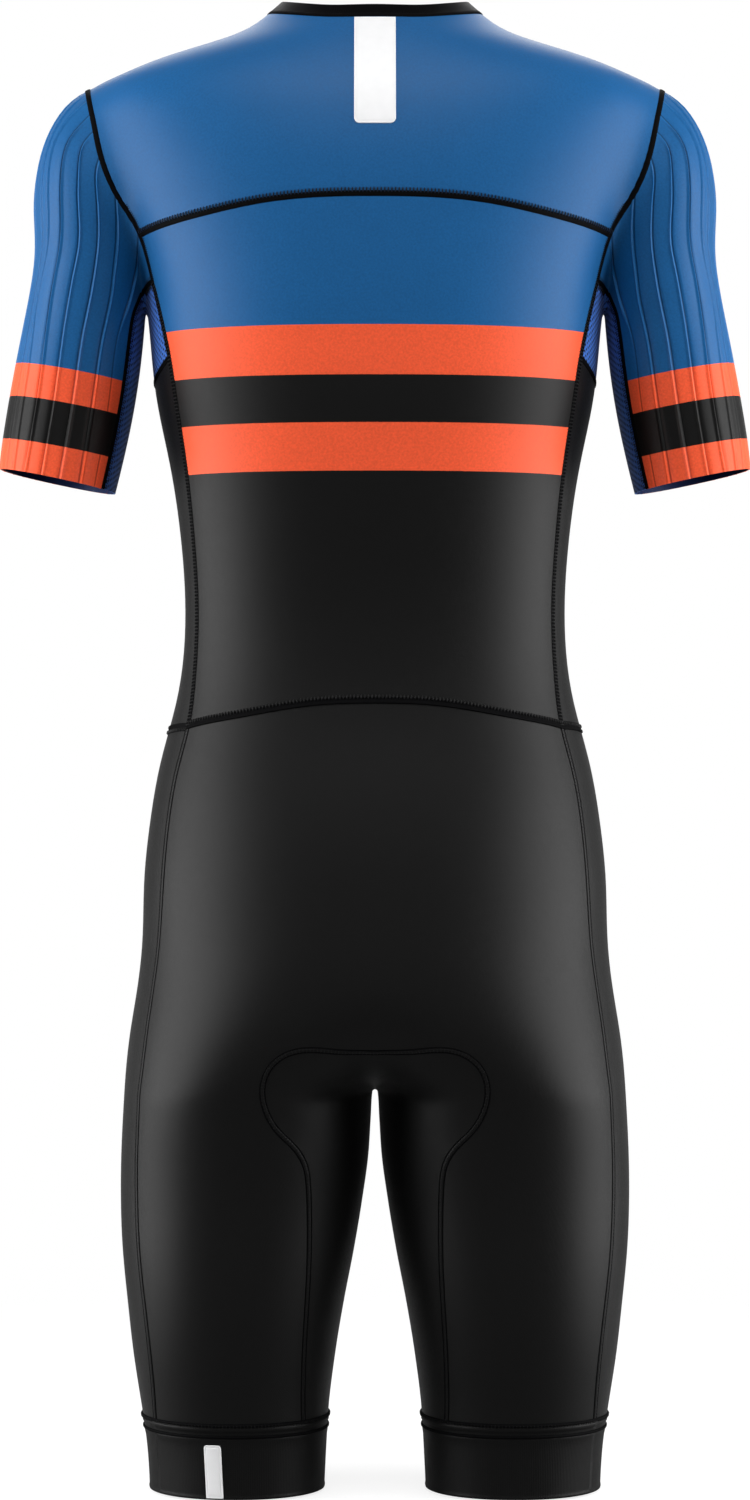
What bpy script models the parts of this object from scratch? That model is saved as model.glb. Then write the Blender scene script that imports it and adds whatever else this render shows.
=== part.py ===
"""A short-sleeved triathlon suit, filled out as it is worn. Metres, +Z up.

The suit's front faces -Y, its back +Y, and the wearer's left is +X. The origin lies between the shoulders,
level with the foot of the neck band, where the wearer's shoulders carry the suit.

The outer face of the cloth is one smooth surface, `skin`: a body tube, two leg tubes and two sleeve tubes,
read from the section tables and blended where they meet. A cloth panel is a grid of points between its
seams, moved onto that surface and given the cloth's thickness inwards. Panels that meet share the points of
their seam, and each stands back from it by half the seam gap.
"""

import math

import bmesh
import bpy
import numpy as np
from mathutils import Matrix, Vector

MM = 0.001

# Cloth
CLOTH = 1.5 * MM
BAND_CLOTH = 2.0 * MM
TAPE_CLOTH = 1.0 * MM
LABEL_CLOTH = 0.8 * MM
SEAM_GAP = 0.3 * MM
LABEL_LIFT = 0.35 * MM
RIM_ORDER = (0.31, 0.52, 0.79)

# Lengths of the suit
BAND_TOP_Z = -968 * MM
HEM_Z = -1019.2 * MM
CUFF_OUTER = (259.4, -313.4)
CUFF_INNER = (180.0, -330.0)
NECK_BAND_WIDTH = 11.0 * MM
NECK_BAND_LIFT = 0.4 * MM

# Lengthwise ribs on the sleeves
RIB_COUNT = 15
RIB_FIRST = 0.06
RIB_HALF_WIDTH = 0.0075
RIB_HEIGHT = 0.9 * MM
RIB_SPREAD = 0.2

# Front zip
TAPE_HALF = 7.0 * MM
CHAIN_HALF = 2.6 * MM
CHAIN_HEIGHT = 1.4 * MM
SLIDER_AT = 0.42
SLIDER_SIZE = (9.2 * MM, 11.0 * MM)
SLIDER_PLATE = 1.2 * MM
LUG_SIZE = (2.0 * MM, 8.4 * MM, 3.4 * MM)
LUG_BORE = 2.2 * MM
PULL_SIZE = (6.4 * MM, 30.0 * MM, 1.2 * MM)
PULL_WINDOW = (3.8 * MM, 6.4 * MM)

# Neck label and hem tab: width, top and bottom
LABEL = (28.6 * MM, -13.0 * MM, -90.8 * MM)
HEM_TAB = (12.6 * MM, -982.0 * MM, -1018.4 * MM)
HEM_TAB_X = 109.6 * MM
BACK_REACH = 200 * MM

# Sections of the body and legs, in mm: height, half width, depth behind, depth in front, roundness
BODY = (
    (30, 55.0, 42, 48, 2.2),
    (14, 59.0, 46, 53, 2.2),
    (0, 73.0, 56, 61, 2.2),
    (-9, 84.5, 64, 66, 2.2),
    (-18, 102.5, 72, 71, 2.2),
    (-31, 143.0, 82, 78, 2.25),
    (-45, 177.0, 91, 85, 2.3),
    (-62, 194.0, 100, 92, 2.3),
    (-85, 195.0, 108, 99, 2.3),
    (-115, 188.0, 114, 107, 2.3),
    (-150, 173.0, 116, 112, 2.3),
    (-185, 161.5, 115.5, 115, 2.3),
    (-222, 156.0, 113, 115, 2.3),
    (-265, 151.5, 108.5, 112.5, 2.3),
    (-310, 142.5, 101, 108, 2.3),
    (-365, 134.3, 92, 104, 2.3),
    (-430, 131.7, 86, 102, 2.3),
    (-475, 137.3, 91, 102.5, 2.3),
    (-517, 148.2, 102, 103, 2.3),
    (-560, 155.8, 114, 103, 2.3),
    (-600, 159.8, 122, 102, 2.25),
    (-640, 161.0, 126, 100, 2.2),
    (-675, 164.7, 126, 98, 2.2),
    (-705, 169.5, 122, 97, 2.2),
    (-730, 172.3, 115.5, 97, 2.2),
    (-752, 173.8, 109, 98, 2.2),
    (-787, 175.6, 99, 98.5, 2.15),
    (-822, 176.0, 92, 97, 2.1),
    (-856, 174.6, 87.5, 94, 2.1),
    (-891, 171.2, 82, 89, 2.1),
    (-926, 167.3, 74, 81, 2.1),
    (-967, 161.0, 64, 69, 2.1),
    (-988, 158.1, 61.5, 65, 2.1),
    (-1019.2, 156.0, 61, 63, 2.1),
    (-1040, 155.5, 61, 63, 2.1),
)
# Inner edge of the left leg's section, in mm: height, x. Above the split it runs across to the right side.
SPLIT_TOP_Z = -560 * MM
SPLIT = (
    (-560, -155.8), (-600, -152.0), (-640, -140.0), (-675, -112.0), (-705, -68.0), (-728, -25.0),
    (-739, -5.0), (-746, 1.7), (-765, 2.9), (-787, 4.3), (-822, 9.0), (-856, 14.7), (-891, 21.5),
    (-926, 27.3), (-967, 32.3), (-988, 33.5), (-1019.2, 35.0), (-1040, 35.6),
)
# Sections of the left sleeve, in mm: height, outer x, inner x, depth behind, depth in front
SLEEVE = (
    (-100, 235.0, 156.0, 55, 55),
    (-135, 235.7, 155.5, 55.5, 55.5),
    (-165, 235.0, 156.5, 55, 55),
    (-190, 238.0, 158.0, 54, 54),
    (-218, 243.4, 160.0, 53, 53),
    (-246, 248.9, 162.9, 52.5, 52.5),
    (-281, 255.1, 168.5, 52, 52),
    (-313, 259.4, 175.5, 51, 51),
    (-345, 261.0, 183.5, 50.5, 50.5),
)
SLEEVE_ROUNDNESS = 2.1
SHOULDER_Z = -135 * MM
SHOULDER_RISE = 77 * MM
# Width over which two tubes blend, in mm: height, blend
LEG_BLEND = ((-560, 0), (-620, 6), (-675, 20), (-705, 30), (-726, 24), (-738, 9), (-747, 3), (-1040, 3))
ARM_BLEND = ((-40, 30), (-110, 38), (-150, 30), (-185, 18), (-200, 10), (-209, 4), (-230, 3))

# Guides of the seams on the wearer's left, in mm: x, y, z. Each is drawn smooth and laid on the skin.
SHOULDER_TOP = (199.5, 0, -52)
UNDERARM_BACK = (151.9, 45.6, -189.7)
ARMHOLE_BACK = (
    UNDERARM_BACK, (155.0, 45.8, -176.4), (160.3, 48.7, -158.3), (175.7, 53.9, -131.7),
    (186.5, 53.9, -105.8), (192.6, 44.0, -79.2), (198.0, 17.0, -56.0), SHOULDER_TOP,
)
YOKE_CORNER = 2
SIDE_BACK = (
    UNDERARM_BACK, (146.6, 49.6, -210.9), (140.0, 55.1, -242.1), (132.8, 52.3, -290.0),
    (124.1, 41.5, -368.0), (121.8, 39.0, -410.0), (124.0, 42.7, -466.0), (127.5, 49.1, -493.2),
    (134.9, 52.7, -522.5), (144.3, 60.6, -598.0), (151.5, 60.5, -675.0), (159.5, 65.5, -737.0),
    (162.2, 56.8, -789.0), (161.8, 52.2, -838.0), (153.6, 46.6, -924.0), (151.7, 37.0, -968.0),
)
MESH_CORNER, WAIST_CORNER, HIP_CORNER, THIGH_CORNER, LEG_CORNER = 2, 7, 11, 13, 15
UNDER_SLEEVE_BACK = (
    UNDERARM_BACK, (162.9, 28.0, -200.2), (167.7, 32.2, -217.4), (169.7, 31.4, -239.3),
    (176.9, 33.1, -277.8), (187.0, 30.0, -328.5),
)
YOKE_BACK = (
    (152.9, 60.3, -156.3), (112.8, 94.8, -148.4), (73.5, 109.0, -141.8), (35.3, 114.5, -138.8),
    (0, 115.7, -138.3),
)
NECKLINE_BACK = ((74, 0, 0), (66, 32, -5), (52, 50, -8.5), (30.5, 62.4, -10.6), (0, 65.6, -10.8))
NECKLINE_FRONT = ((0, -94, -75), (26, -90, -66), (48, -76, -45), (65, -48, -18))
YOKE_FRONT = ((110, -62, -38), (150, -66, -55))
WAIST_BACK = ((89.2, 77.0, -485.3), (41.0, 89.0, -477.6), (0, 91.2, -476.0))
WAIST_FRONT = ((89.0, -86, -496.0), (41.0, -99, -498.0), (7.0, -102.8, -498.0))
WAIST_SIDE = (141.5, 0, -496.0)
GUSSET_BACK = (
    (48.8, 44.2, -968.0), (47.6, 58.6, -910.0), (44.3, 75.2, -829.0), (44.8, 81.7, -804.0),
    (46.5, 86.4, -791.0), (53.7, 94.4, -777.0), (65.0, 102.0, -765.0), (73.5, 109.0, -749.0),
    (75.1, 114.0, -735.0), (69.9, 118.0, -721.0), (59.6, 120.0, -712.6), (47.2, 121.0, -709.5),
    (22.7, 117.0, -711.0), (0, 113.0, -711.7),
)
GUSSET_FRONT = (
    (48.8, -48.0, -968.0), (47.0, -66.0, -900.0), (44.5, -84.0, -835.0), (44.5, -89.0, -804.0),
    (46.5, -92.0, -785.0), (53.0, -94.0, -764.0), (56.0, -95.0, -744.0), (51.0, -96.0, -726.0),
    (38.0, -97.0, -713.0), (20.0, -97.0, -708.0), (0, -97.0, -707.0),
)
GUSSET_BACK_STOPS = (0, 3, 7, 13)
GUSSET_FRONT_STOPS = (0, 3, 6, 10)
LEG_BAND_BACK = (95.0, 64.0, -968.0)
LEG_BAND_FRONT = (95.0, -69.0, -968.0)
LEG_BAND_SIDE = (161.0, 0, -968.0)
UNDERARM_LINE = (
    (180.0, 0, -330.0), (174.7, 0, -308.5), (168.5, 0, -281.0), (162.5, 0, -246.0), (159.8, 0, -222.0),
    (158.0, 0, -208.0), (155.8, 0, -224.0), (153.0, 0, -257.0),
)
ARMPIT = 5
ARMPIT_NEAR = 140 * MM
ARMPIT_FAR = 180 * MM
INNER_LEG_LINE = (
    (32.3, 0, -968.0), (27.0, 0, -926.0), (14.7, 0, -856.0), (9.0, 0, -822.0),
    (4.3, 0, -787.0), (2.9, 0, -765.0), (1.8, 0, -751.0), (0, 0, -745.0),
)
INNER_LEG_STOPS = (0, 3, 5, 7)
# Raised rings at the top of a leg band, in mm: drop from its top edge, height above the cloth
LEG_BAND_PROFILE = (
    (0, 0), (1.5, 0.9), (4.0, 0.9), (5.2, 0.2), (6.5, 0.9), (9.5, 0.9), (11.0, 0), (30.0, 0), (51.2, 0),
)

# Divisions of the panels
YOKE_HALF = 7
YOKE_ROWS = 6
UNDERARM_ROWS = 3
SIDE_ROWS = 7
SIDE_COLUMNS = 6
SLEEVE_ROWS = 11
FRONT_NECK = 6
LEG_ROWS = 5
THIGH_ROWS = 4
HIP_ROWS = 7
SEAT_ROWS = 7
STRIP_ROWS = 6
EVENING = 60
SETTLING = 12
STRIP_SPREAD = 0.25

# Colours: red, green, blue, roughness
BLUE = (0.016, 0.104, 0.284, 0.55)
BLACK = (0.012, 0.012, 0.013, 0.5)
MESH_BLUE = (0.03, 0.09, 0.33, 0.7)
LABEL_WHITE = (0.78, 0.78, 0.78, 0.45)
METAL = (0.05, 0.05, 0.055, 0.35)


# ---------------------------------------------------------------- curves through tables


def spline(knots, values):
    """Natural cubic spline through rows of values at rising knots."""
    knots = np.asarray(knots, float)
    values = np.asarray(values, float)
    step = np.diff(knots)
    slope = np.diff(values, axis=0) / step[:, None]
    system = np.eye(len(knots))
    target = np.zeros_like(values)
    for i in range(1, len(knots) - 1):
        system[i, i - 1:i + 2] = step[i - 1], 2 * (step[i - 1] + step[i]), step[i]
        target[i] = 6 * (slope[i] - slope[i - 1])
    bend = np.linalg.solve(system, target)

    def read(at):
        at = np.clip(at, knots[0], knots[-1])
        i = np.clip(np.searchsorted(knots, at) - 1, 0, len(step) - 1)
        high = ((at - knots[i]) / step[i])[..., None]
        low = 1 - high
        curved = (low ** 3 - low) * bend[i] + (high ** 3 - high) * bend[i + 1]
        return low * values[i] + high * values[i + 1] + curved * step[i][..., None] ** 2 / 6

    return read


def monotone(knots, values):
    """Cubic through values at rising knots that never overshoots them."""
    knots = np.asarray(knots, float)
    values = np.asarray(values, float)
    step = np.diff(knots)
    slope = np.diff(values) / step
    tangent = np.concatenate([slope[:1], np.zeros(len(slope) - 1), slope[-1:]])
    for i in range(1, len(slope)):
        if slope[i - 1] * slope[i] > 0:
            before = 2 * step[i] + step[i - 1]
            after = step[i] + 2 * step[i - 1]
            tangent[i] = (before + after) / (before / slope[i - 1] + after / slope[i])

    def read(at):
        at = np.clip(at, knots[0], knots[-1])
        i = np.clip(np.searchsorted(knots, at) - 1, 0, len(step) - 1)
        t = (at - knots[i]) / step[i]
        return (values[i] * (1 + 2 * t) * (1 - t) ** 2 + tangent[i] * step[i] * t * (1 - t) ** 2
                + values[i + 1] * t * t * (3 - 2 * t) + tangent[i + 1] * step[i] * t * t * (t - 1))

    return read


def rising(table):
    """A table's rows from the lowest height up, in metres."""
    return np.array(table, float)[::-1] * MM


BODY_ROWS = rising(BODY)
BODY_ROWS[:, 4] /= MM
body_section = spline(BODY_ROWS[:, 0], BODY_ROWS[:, 1:])
sleeve_section = spline(rising(SLEEVE)[:, 0], rising(SLEEVE)[:, 1:])
split_x = monotone(rising(SPLIT)[:, 0], rising(SPLIT)[:, 1])


def blend_width(table, height):
    """Blend width at a height, straight between the rows of its table."""
    rows = rising(table)
    return np.interp(height, rows[:, 0], rows[:, 1])


# ---------------------------------------------------------------- the skin


def section_edge(dx, dy, half_width, back, front, roundness):
    """Distance of (dx, dy) from a section's centre, and of the section's edge in that direction."""
    reach = np.hypot(dx, dy) + 1e-9
    depth = np.where(dy > 0, back, front)
    edge = ((np.abs(dx) / reach / half_width) ** roundness + (np.abs(dy) / reach / depth) ** roundness)
    return reach, edge ** (-1 / roundness)


def leg_edge(x, y, z):
    """Section of the body seen as its left leg, which widens to the whole body above the split."""
    outer, back, front, roundness = np.moveaxis(body_section(z), -1, 0)
    inner = np.where(z > SPLIT_TOP_Z, -outer, np.maximum(split_x(z), -outer))
    return section_edge(x - (outer + inner) / 2, y, (outer - inner) / 2, back, front, roundness)


def leg_tube(x, y, z):
    """Signed distance to the left leg's tube, corrected for the slope of its side."""
    step = 0.5 * MM
    reach, edge = leg_edge(x, y, z)
    slope = (leg_edge(x, y, z + step)[1] - leg_edge(x, y, z - step)[1]) / (2 * step)
    return (reach - edge) / np.sqrt(1 + slope ** 2)


def sleeve_tube(x, y, z):
    """Signed distance to the left sleeve's tube, closed above by the dome of the shoulder."""
    outer, inner, back, front = np.moveaxis(sleeve_section(np.minimum(z, SHOULDER_Z)), -1, 0)
    centre, half_width = (outer + inner) / 2, (outer - inner) / 2
    reach, edge = section_edge(x - centre, y, half_width, back, front, SLEEVE_ROUNDNESS)
    rise = np.maximum(z - SHOULDER_Z, 0) / SHOULDER_RISE * edge
    return np.hypot(reach, rise) - edge


def blended(first, second, width):
    """Smaller of two distances, rounded where they are closer than width."""
    width = np.maximum(width, 1e-6)
    near = np.maximum(width - np.abs(first - second), 0) / width
    return np.minimum(first, second) - near ** 3 * width / 6


def skin(points):
    """Signed distance to the outer face of the suit, negative inside."""
    x = np.abs(points[..., 0])
    y = points[..., 1]
    z = points[..., 2]
    body = blended(leg_tube(x, y, z), leg_tube(-x, y, z), blend_width(LEG_BLEND, z))
    return blended(body, sleeve_tube(x, y, z), blend_width(ARM_BLEND, z))


def slope_of_skin(points):
    """Gradient of the skin's distance, by central differences."""
    step = 0.2 * MM
    parts = [(skin(points + shift) - skin(points - shift)) / (2 * step) for shift in np.eye(3) * step]
    return np.stack(parts, -1)


def outward(points):
    """Unit normals of the skin."""
    slope = slope_of_skin(points)
    return slope / np.linalg.norm(slope, axis=-1, keepdims=True)


def on_skin(points, rounds=14):
    """Points moved onto the skin along its gradient, at most 10 mm a round."""
    points = np.array(points, float)
    for _ in range(rounds):
        slope = slope_of_skin(points)
        move = slope * (skin(points) / np.maximum((slope ** 2).sum(-1), 0.05))[..., None]
        length = np.linalg.norm(move, axis=-1, keepdims=True)
        points -= move * np.minimum(1, 10 * MM / np.maximum(length, 1e-12))
    return points


def bisected(held, free, test, rounds=40):
    """Values where a test stops holding, between one value where it holds and one where it doesn't."""
    for _ in range(rounds):
        middle = (held + free) / 2
        holds = test(middle)
        held, free = np.where(holds, middle, held), np.where(holds, free, middle)
    return (held + free) / 2


def armpit_fold(y):
    """Points of the fold under the left arm at given y, where the sleeve and the body part."""
    def fold_x(z):
        low, high = np.full_like(y, ARMPIT_NEAR), np.full_like(y, ARMPIT_FAR)
        return bisected(low, high, lambda x: leg_tube(x, y, z) < sleeve_tube(x, y, z))

    def merged(z):
        return skin(np.stack([fold_x(z), y, z], -1)) < 0

    z = bisected(np.full_like(y, SHOULDER_Z), np.full_like(y, CUFF_INNER[1] * MM), merged)
    return np.stack([fold_x(z), y, z], -1)


# ---------------------------------------------------------------- seams


def in_front(guides):
    """Guides mirrored from the back to the front."""
    return [(x, -y, z) for x, y, z in guides]


def both_sides(line):
    """Points from the left to the centre line, carried on to the right."""
    return np.concatenate([line, line[-2::-1] * (-1, 1, 1)])


class Seam:
    """A smooth line on the skin through guides in mm."""

    def __init__(self, guides):
        guides = np.array(guides, float) * MM
        length = np.linalg.norm(np.diff(guides, axis=0), axis=1)
        self.knots = np.concatenate([[0], np.cumsum(length)]) / length.sum()
        self.line = spline(self.knots, guides)

    def at(self, fractions):
        """Points at fractions of the seam's length."""
        return on_skin(self.line(np.asarray(fractions, float)))

    def between(self, first, last, count):
        """Evenly spaced points from one guide to another, count segments in all."""
        return self.at(np.linspace(self.knots[first], self.knots[last], count + 1))


def joined(*lines):
    """Lines that meet end to end, as one line."""
    return np.concatenate([lines[0]] + [line[1:] for line in lines[1:]])


def mm(point):
    """A point in mm, to start or end a seam's guides."""
    return tuple(np.asarray(point) / MM)


def refined(line, count):
    """The same straight stretches cut into count parts, as evenly as their corners allow."""
    corners = np.arange(len(line)) * count // (len(line) - 1)
    steps = np.arange(count + 1)
    return np.stack([np.interp(steps, corners, line[:, axis]) for axis in range(3)], -1)


# ---------------------------------------------------------------- panels


def evened(grid, rounds, sideways=0.5):
    """The grid, its inner points brought towards the middle of their neighbours on the skin."""
    grid = grid.copy()
    for _ in range(rounds):
        beside = (grid[1:-1, :-2] + grid[1:-1, 2:]) / 2
        above = (grid[:-2, 1:-1] + grid[2:, 1:-1]) / 2
        grid[1:-1, 1:-1] = on_skin(sideways * beside + (1 - sideways) * above, 2)
    grid[1:-1, 1:-1] = on_skin(grid[1:-1, 1:-1])
    return grid


def spread(top, bottom, left, right, across=None, sideways=0.5):
    """Grid of points between four lines, the inner ones moved onto the skin and evened out."""
    down = np.linspace(0, 1, len(left))[:, None, None]
    if across is None:
        across = np.linspace(0, 1, len(top))
    across = np.asarray(across)[None, :, None]
    corners = ((1 - down) * ((1 - across) * top[0] + across * top[-1])
               + down * ((1 - across) * bottom[0] + across * bottom[-1]))
    lengthwise = (1 - down) * top + down * bottom
    crosswise = (1 - across) * left[:, None] + across * right[:, None]
    grid = lengthwise + crosswise - corners
    grid[1:-1, 1:-1] = on_skin(grid[1:-1, 1:-1])
    return evened(grid, EVENING, sideways)


def saddle(back, middle, front, columns):
    """Grid of points across three lines, the inner ones moved onto the skin."""
    u = np.linspace(0, 1, columns + 1)[None, :, None]
    grid = ((1 - u) * (1 - 2 * u) * back[:, None] + 4 * u * (1 - u) * middle[:, None]
            + u * (2 * u - 1) * front[:, None])
    grid[:, 1:-1] = on_skin(grid[:, 1:-1])
    return grid


def edge_loop(rows, columns):
    """Indices round the edge of a grid: top, right, bottom and left."""
    index = np.arange(rows * columns).reshape(rows, columns)
    return np.concatenate([index[0, :-1], index[:-1, -1], index[-1, :0:-1], index[:0:-1, 0]])


def facing(grid, normals):
    """1 where the grid's columns turn to its rows anticlockwise seen from outside, otherwise -1."""
    across = grid[:-1, 1:] - grid[:-1, :-1]
    down = grid[1:, :-1] - grid[:-1, :-1]
    return 1 if (np.cross(across, down) * normals[:-1, :-1]).sum() > 0 else -1


def stood_back(loop, normals, gaps):
    """Moves that bring each corner of a closed loop inwards by its edges' gaps; gap i follows corner i."""
    along = np.roll(loop, -1, 0) - loop
    after = np.cross(normals, along)
    after /= np.linalg.norm(after, axis=1, keepdims=True)
    before = np.cross(normals, np.roll(along, 1, 0))
    before /= np.linalg.norm(before, axis=1, keepdims=True)
    gap_after = np.asarray(gaps, float)
    gap_before = np.roll(gap_after, 1)
    turn = np.clip((before * after).sum(1), -0.95, 1)
    straight = turn > 0.9999
    rest = np.where(straight, 1, 1 - turn ** 2)
    weight_before = np.where(straight, gap_before / 2, (gap_before - gap_after * turn) / rest)
    weight_after = np.where(straight, gap_after / 2, (gap_after - gap_before * turn) / rest)
    return before * weight_before[:, None] + after * weight_after[:, None]


def seamed(grid, normals, top=True, right=True, bottom=True, left=True):
    """The grid, its sewn edges moved back from the seam by half the seam gap."""
    rows, columns = grid.shape[:2]
    loop = edge_loop(rows, columns)
    half = SEAM_GAP / 2
    gaps = np.concatenate([
        np.full(columns - 1, half * top), np.full(rows - 1, half * right),
        np.full(columns - 1, half * bottom), np.full(rows - 1, half * left),
    ])
    points = grid.reshape(-1, 3).copy()
    face = normals.reshape(-1, 3)[loop] * facing(grid, normals)
    points[loop] += stood_back(points[loop], face, gaps)
    return points.reshape(grid.shape)


def rim_faces(loop, points, count):
    """Triangles between the outer and the inner edge. Walls that share a seam cut them the same way."""
    after = np.roll(loop, -1)
    order = points @ RIM_ORDER
    kept = (order[loop] < order[after])[:, None]
    first = np.where(kept, np.stack([after, loop, after + count], 1),
                     np.stack([after, loop, loop + count], 1))
    second = np.where(kept, np.stack([loop, loop + count, after + count], 1),
                      np.stack([after, loop + count, after + count], 1))
    return np.concatenate([first, second])


def wall_mesh(name, outer, inner, closed=False):
    """Closed mesh between an outer and an inner grid; a closed wall joins its last column to its first."""
    rows, columns = outer.shape[:2]
    count = rows * columns
    points = np.concatenate([outer.reshape(-1, 3), inner.reshape(-1, 3)])
    index = np.arange(count).reshape(rows, columns)
    if closed:
        wrapped = np.concatenate([index, index[:, :1]], 1)
        edges = [index[0], index[-1, ::-1]]
    else:
        wrapped = index
        edges = [edge_loop(rows, columns)]
    a, b = wrapped[:-1, :-1].ravel(), wrapped[:-1, 1:].ravel()
    c, d = wrapped[1:, 1:].ravel(), wrapped[1:, :-1].ravel()
    long_way = np.linalg.norm(points[a] - points[c], axis=1) > np.linalg.norm(points[b] - points[d], axis=1)
    long_way = long_way[:, None]
    sheet = np.concatenate([
        np.where(long_way, np.stack([a, b, d], 1), np.stack([a, b, c], 1)),
        np.where(long_way, np.stack([b, c, d], 1), np.stack([a, c, d], 1)),
    ])
    faces = [sheet, sheet[:, ::-1] + count]
    faces = np.concatenate(faces + [rim_faces(loop, points, count) for loop in edges])
    if facing(outer, outer - inner) < 0:
        faces = faces[:, ::-1]
    mesh = bpy.data.meshes.new(name)
    mesh.from_pydata(points.tolist(), [], faces.tolist())
    mesh.shade_smooth()
    mesh.set_sharp_from_angle(angle=math.radians(40))
    return mesh


def principled(name, colour, metallic=0.0):
    """Plain material with a colour and a roughness."""
    material = bpy.data.materials.new(name)
    material.use_nodes = True
    shader = material.node_tree.nodes["Principled BSDF"]
    shader.inputs["Base Color"].default_value = (*colour[:3], 1)
    shader.inputs["Roughness"].default_value = colour[3]
    shader.inputs["Metallic"].default_value = metallic
    return material


def add_part(name, mesh, colour, metallic=0.0):
    """Object for a sub-part, with its own material, in the suit's collection."""
    mesh.materials.append(principled(name, colour, metallic))
    part = bpy.data.objects.new(name, mesh)
    bpy.data.collections["triathlon_suit"].objects.link(part)
    return part


def add_wall(name, outer, inner, colour, closed=False):
    """Cloth wall between two grids."""
    return add_part(name, wall_mesh(name, outer, inner, closed), colour)


def add_pair(name, outer, inner, colour, closed=False):
    """A wall on the wearer's left and its mirror image on the right."""
    add_wall(name + "_left", outer, inner, colour, closed)
    add_wall(name + "_right", outer * (-1, 1, 1), inner * (-1, 1, 1), colour, closed)


def cloth(grid, thickness=CLOTH, lift=0.0, **edges):
    """Outer and inner grids of a panel: sewn edges stood back, then the cloth's thickness inwards."""
    normals = outward(grid)
    face = seamed(grid, normals, **edges)
    return face + normals * lift, face + normals * (lift - thickness)


# ---------------------------------------------------------------- seam lines that panels share


def armhole_fraction(share):
    """Place on the armhole of a sleeve line that is a share of the way round the cuff."""
    t = 1 - 2 * np.asarray(share, float)
    return 0.5 - 0.5 * t * (0.56 + 0.44 * np.abs(t) ** 3)


RIBS = np.linspace(RIB_FIRST, 1 - RIB_FIRST, RIB_COUNT)
FRONT_YOKE_RIB = 10

armhole = Seam(ARMHOLE_BACK + tuple(in_front(ARMHOLE_BACK))[-2::-1])
yoke_corner = armhole.knots[YOKE_CORNER]
ARMHOLE_STOPS = np.concatenate([[0, yoke_corner], armhole_fraction(RIBS), [1 - yoke_corner, 1]])
ARMHOLE_POINTS = armhole.at(ARMHOLE_STOPS)
FRONT_CORNER = FRONT_YOKE_RIB + 2

side_back = Seam(SIDE_BACK)
side_front = Seam(in_front(SIDE_BACK))


def side_lines(seam):
    """Side seam in its three stretches: beside the mesh, to the waist, and down the leg."""
    beside_mesh = seam.between(0, MESH_CORNER, UNDERARM_ROWS)
    to_waist = seam.between(MESH_CORNER, WAIST_CORNER, SIDE_ROWS)
    to_hip = seam.between(WAIST_CORNER, HIP_CORNER, HIP_ROWS)
    down_thigh = seam.between(HIP_CORNER, THIGH_CORNER, THIGH_ROWS)
    to_band = seam.between(THIGH_CORNER, LEG_CORNER, LEG_ROWS)
    return beside_mesh, to_waist, joined(to_hip, down_thigh, to_band)


BACK_MESH, BACK_WAIST, BACK_LEG = side_lines(side_back)
FRONT_MESH, FRONT_WAIST, FRONT_LEG = side_lines(side_front)

under_back = Seam(UNDER_SLEEVE_BACK)
under_front = Seam(in_front(UNDER_SLEEVE_BACK))
UNDER_BACK = under_back.between(0, -1, SLEEVE_ROWS)
UNDER_FRONT = under_front.between(0, -1, SLEEVE_ROWS)


def half_seam(start, guides, count):
    """Seam from a given point through guides to its end."""
    return Seam((mm(start),) + tuple(guides)).between(0, -1, count)


YOKE_SEAM = half_seam(ARMHOLE_POINTS[1], YOKE_BACK, YOKE_HALF)
YOKE_SEAM[-1, 0] = 0
WAIST_BACK_HALF = half_seam(BACK_WAIST[-1], WAIST_BACK, YOKE_HALF)
WAIST_BACK_HALF[-1, 0] = 0
WAIST_FRONT_HALF = half_seam(FRONT_WAIST[-1], WAIST_FRONT, FRONT_NECK + YOKE_ROWS)
WAIST_ACROSS_SIDE = Seam((mm(BACK_WAIST[-1]), WAIST_SIDE, mm(FRONT_WAIST[-1]))).between(0, 2, SIDE_COLUMNS)

neckline = Seam(NECKLINE_FRONT + NECKLINE_BACK)
NECK_CORNER = len(NECKLINE_FRONT) - 1
TAPE_SHARE = TAPE_HALF / (NECKLINE_FRONT[1][0] * MM)
NECK_FRONT_HALF = neckline.at(np.linspace(neckline.knots[1] * TAPE_SHARE, neckline.knots[NECK_CORNER],
                                          FRONT_NECK + 1))
NECK_FRONT_HALF[0, 0] = TAPE_HALF
BACK_COLUMNS = FRONT_CORNER - 1 + YOKE_HALF
NECK_BACK_HALF = neckline.between(NECK_CORNER, -1, BACK_COLUMNS)
NECK_BACK_HALF[-1, 0] = 0
YOKE_FRONT_SEAM = Seam((mm(NECK_BACK_HALF[0]),) + YOKE_FRONT
                       + (mm(ARMHOLE_POINTS[FRONT_CORNER]),)).between(0, -1, YOKE_ROWS)


# ---------------------------------------------------------------- upper body


def build_yoke():
    """Upper back and shoulders in one piece, a strip from the neckline out to its seams."""
    outer_half = joined(ARMHOLE_POINTS[FRONT_CORNER:0:-1], YOKE_SEAM)
    grid = spread(both_sides(NECK_BACK_HALF), both_sides(outer_half),
                  YOKE_FRONT_SEAM, YOKE_FRONT_SEAM * (-1, 1, 1))
    add_wall("yoke", *cloth(grid), BLUE)


def build_back_body():
    """Back from the yoke seam to the waist seam."""
    left = joined(ARMHOLE_POINTS[1::-1], BACK_MESH, BACK_WAIST)
    grid = spread(both_sides(YOKE_SEAM), both_sides(WAIST_BACK_HALF), left, left * (-1, 1, 1))
    add_wall("back_body", *cloth(grid), BLUE)


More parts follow.
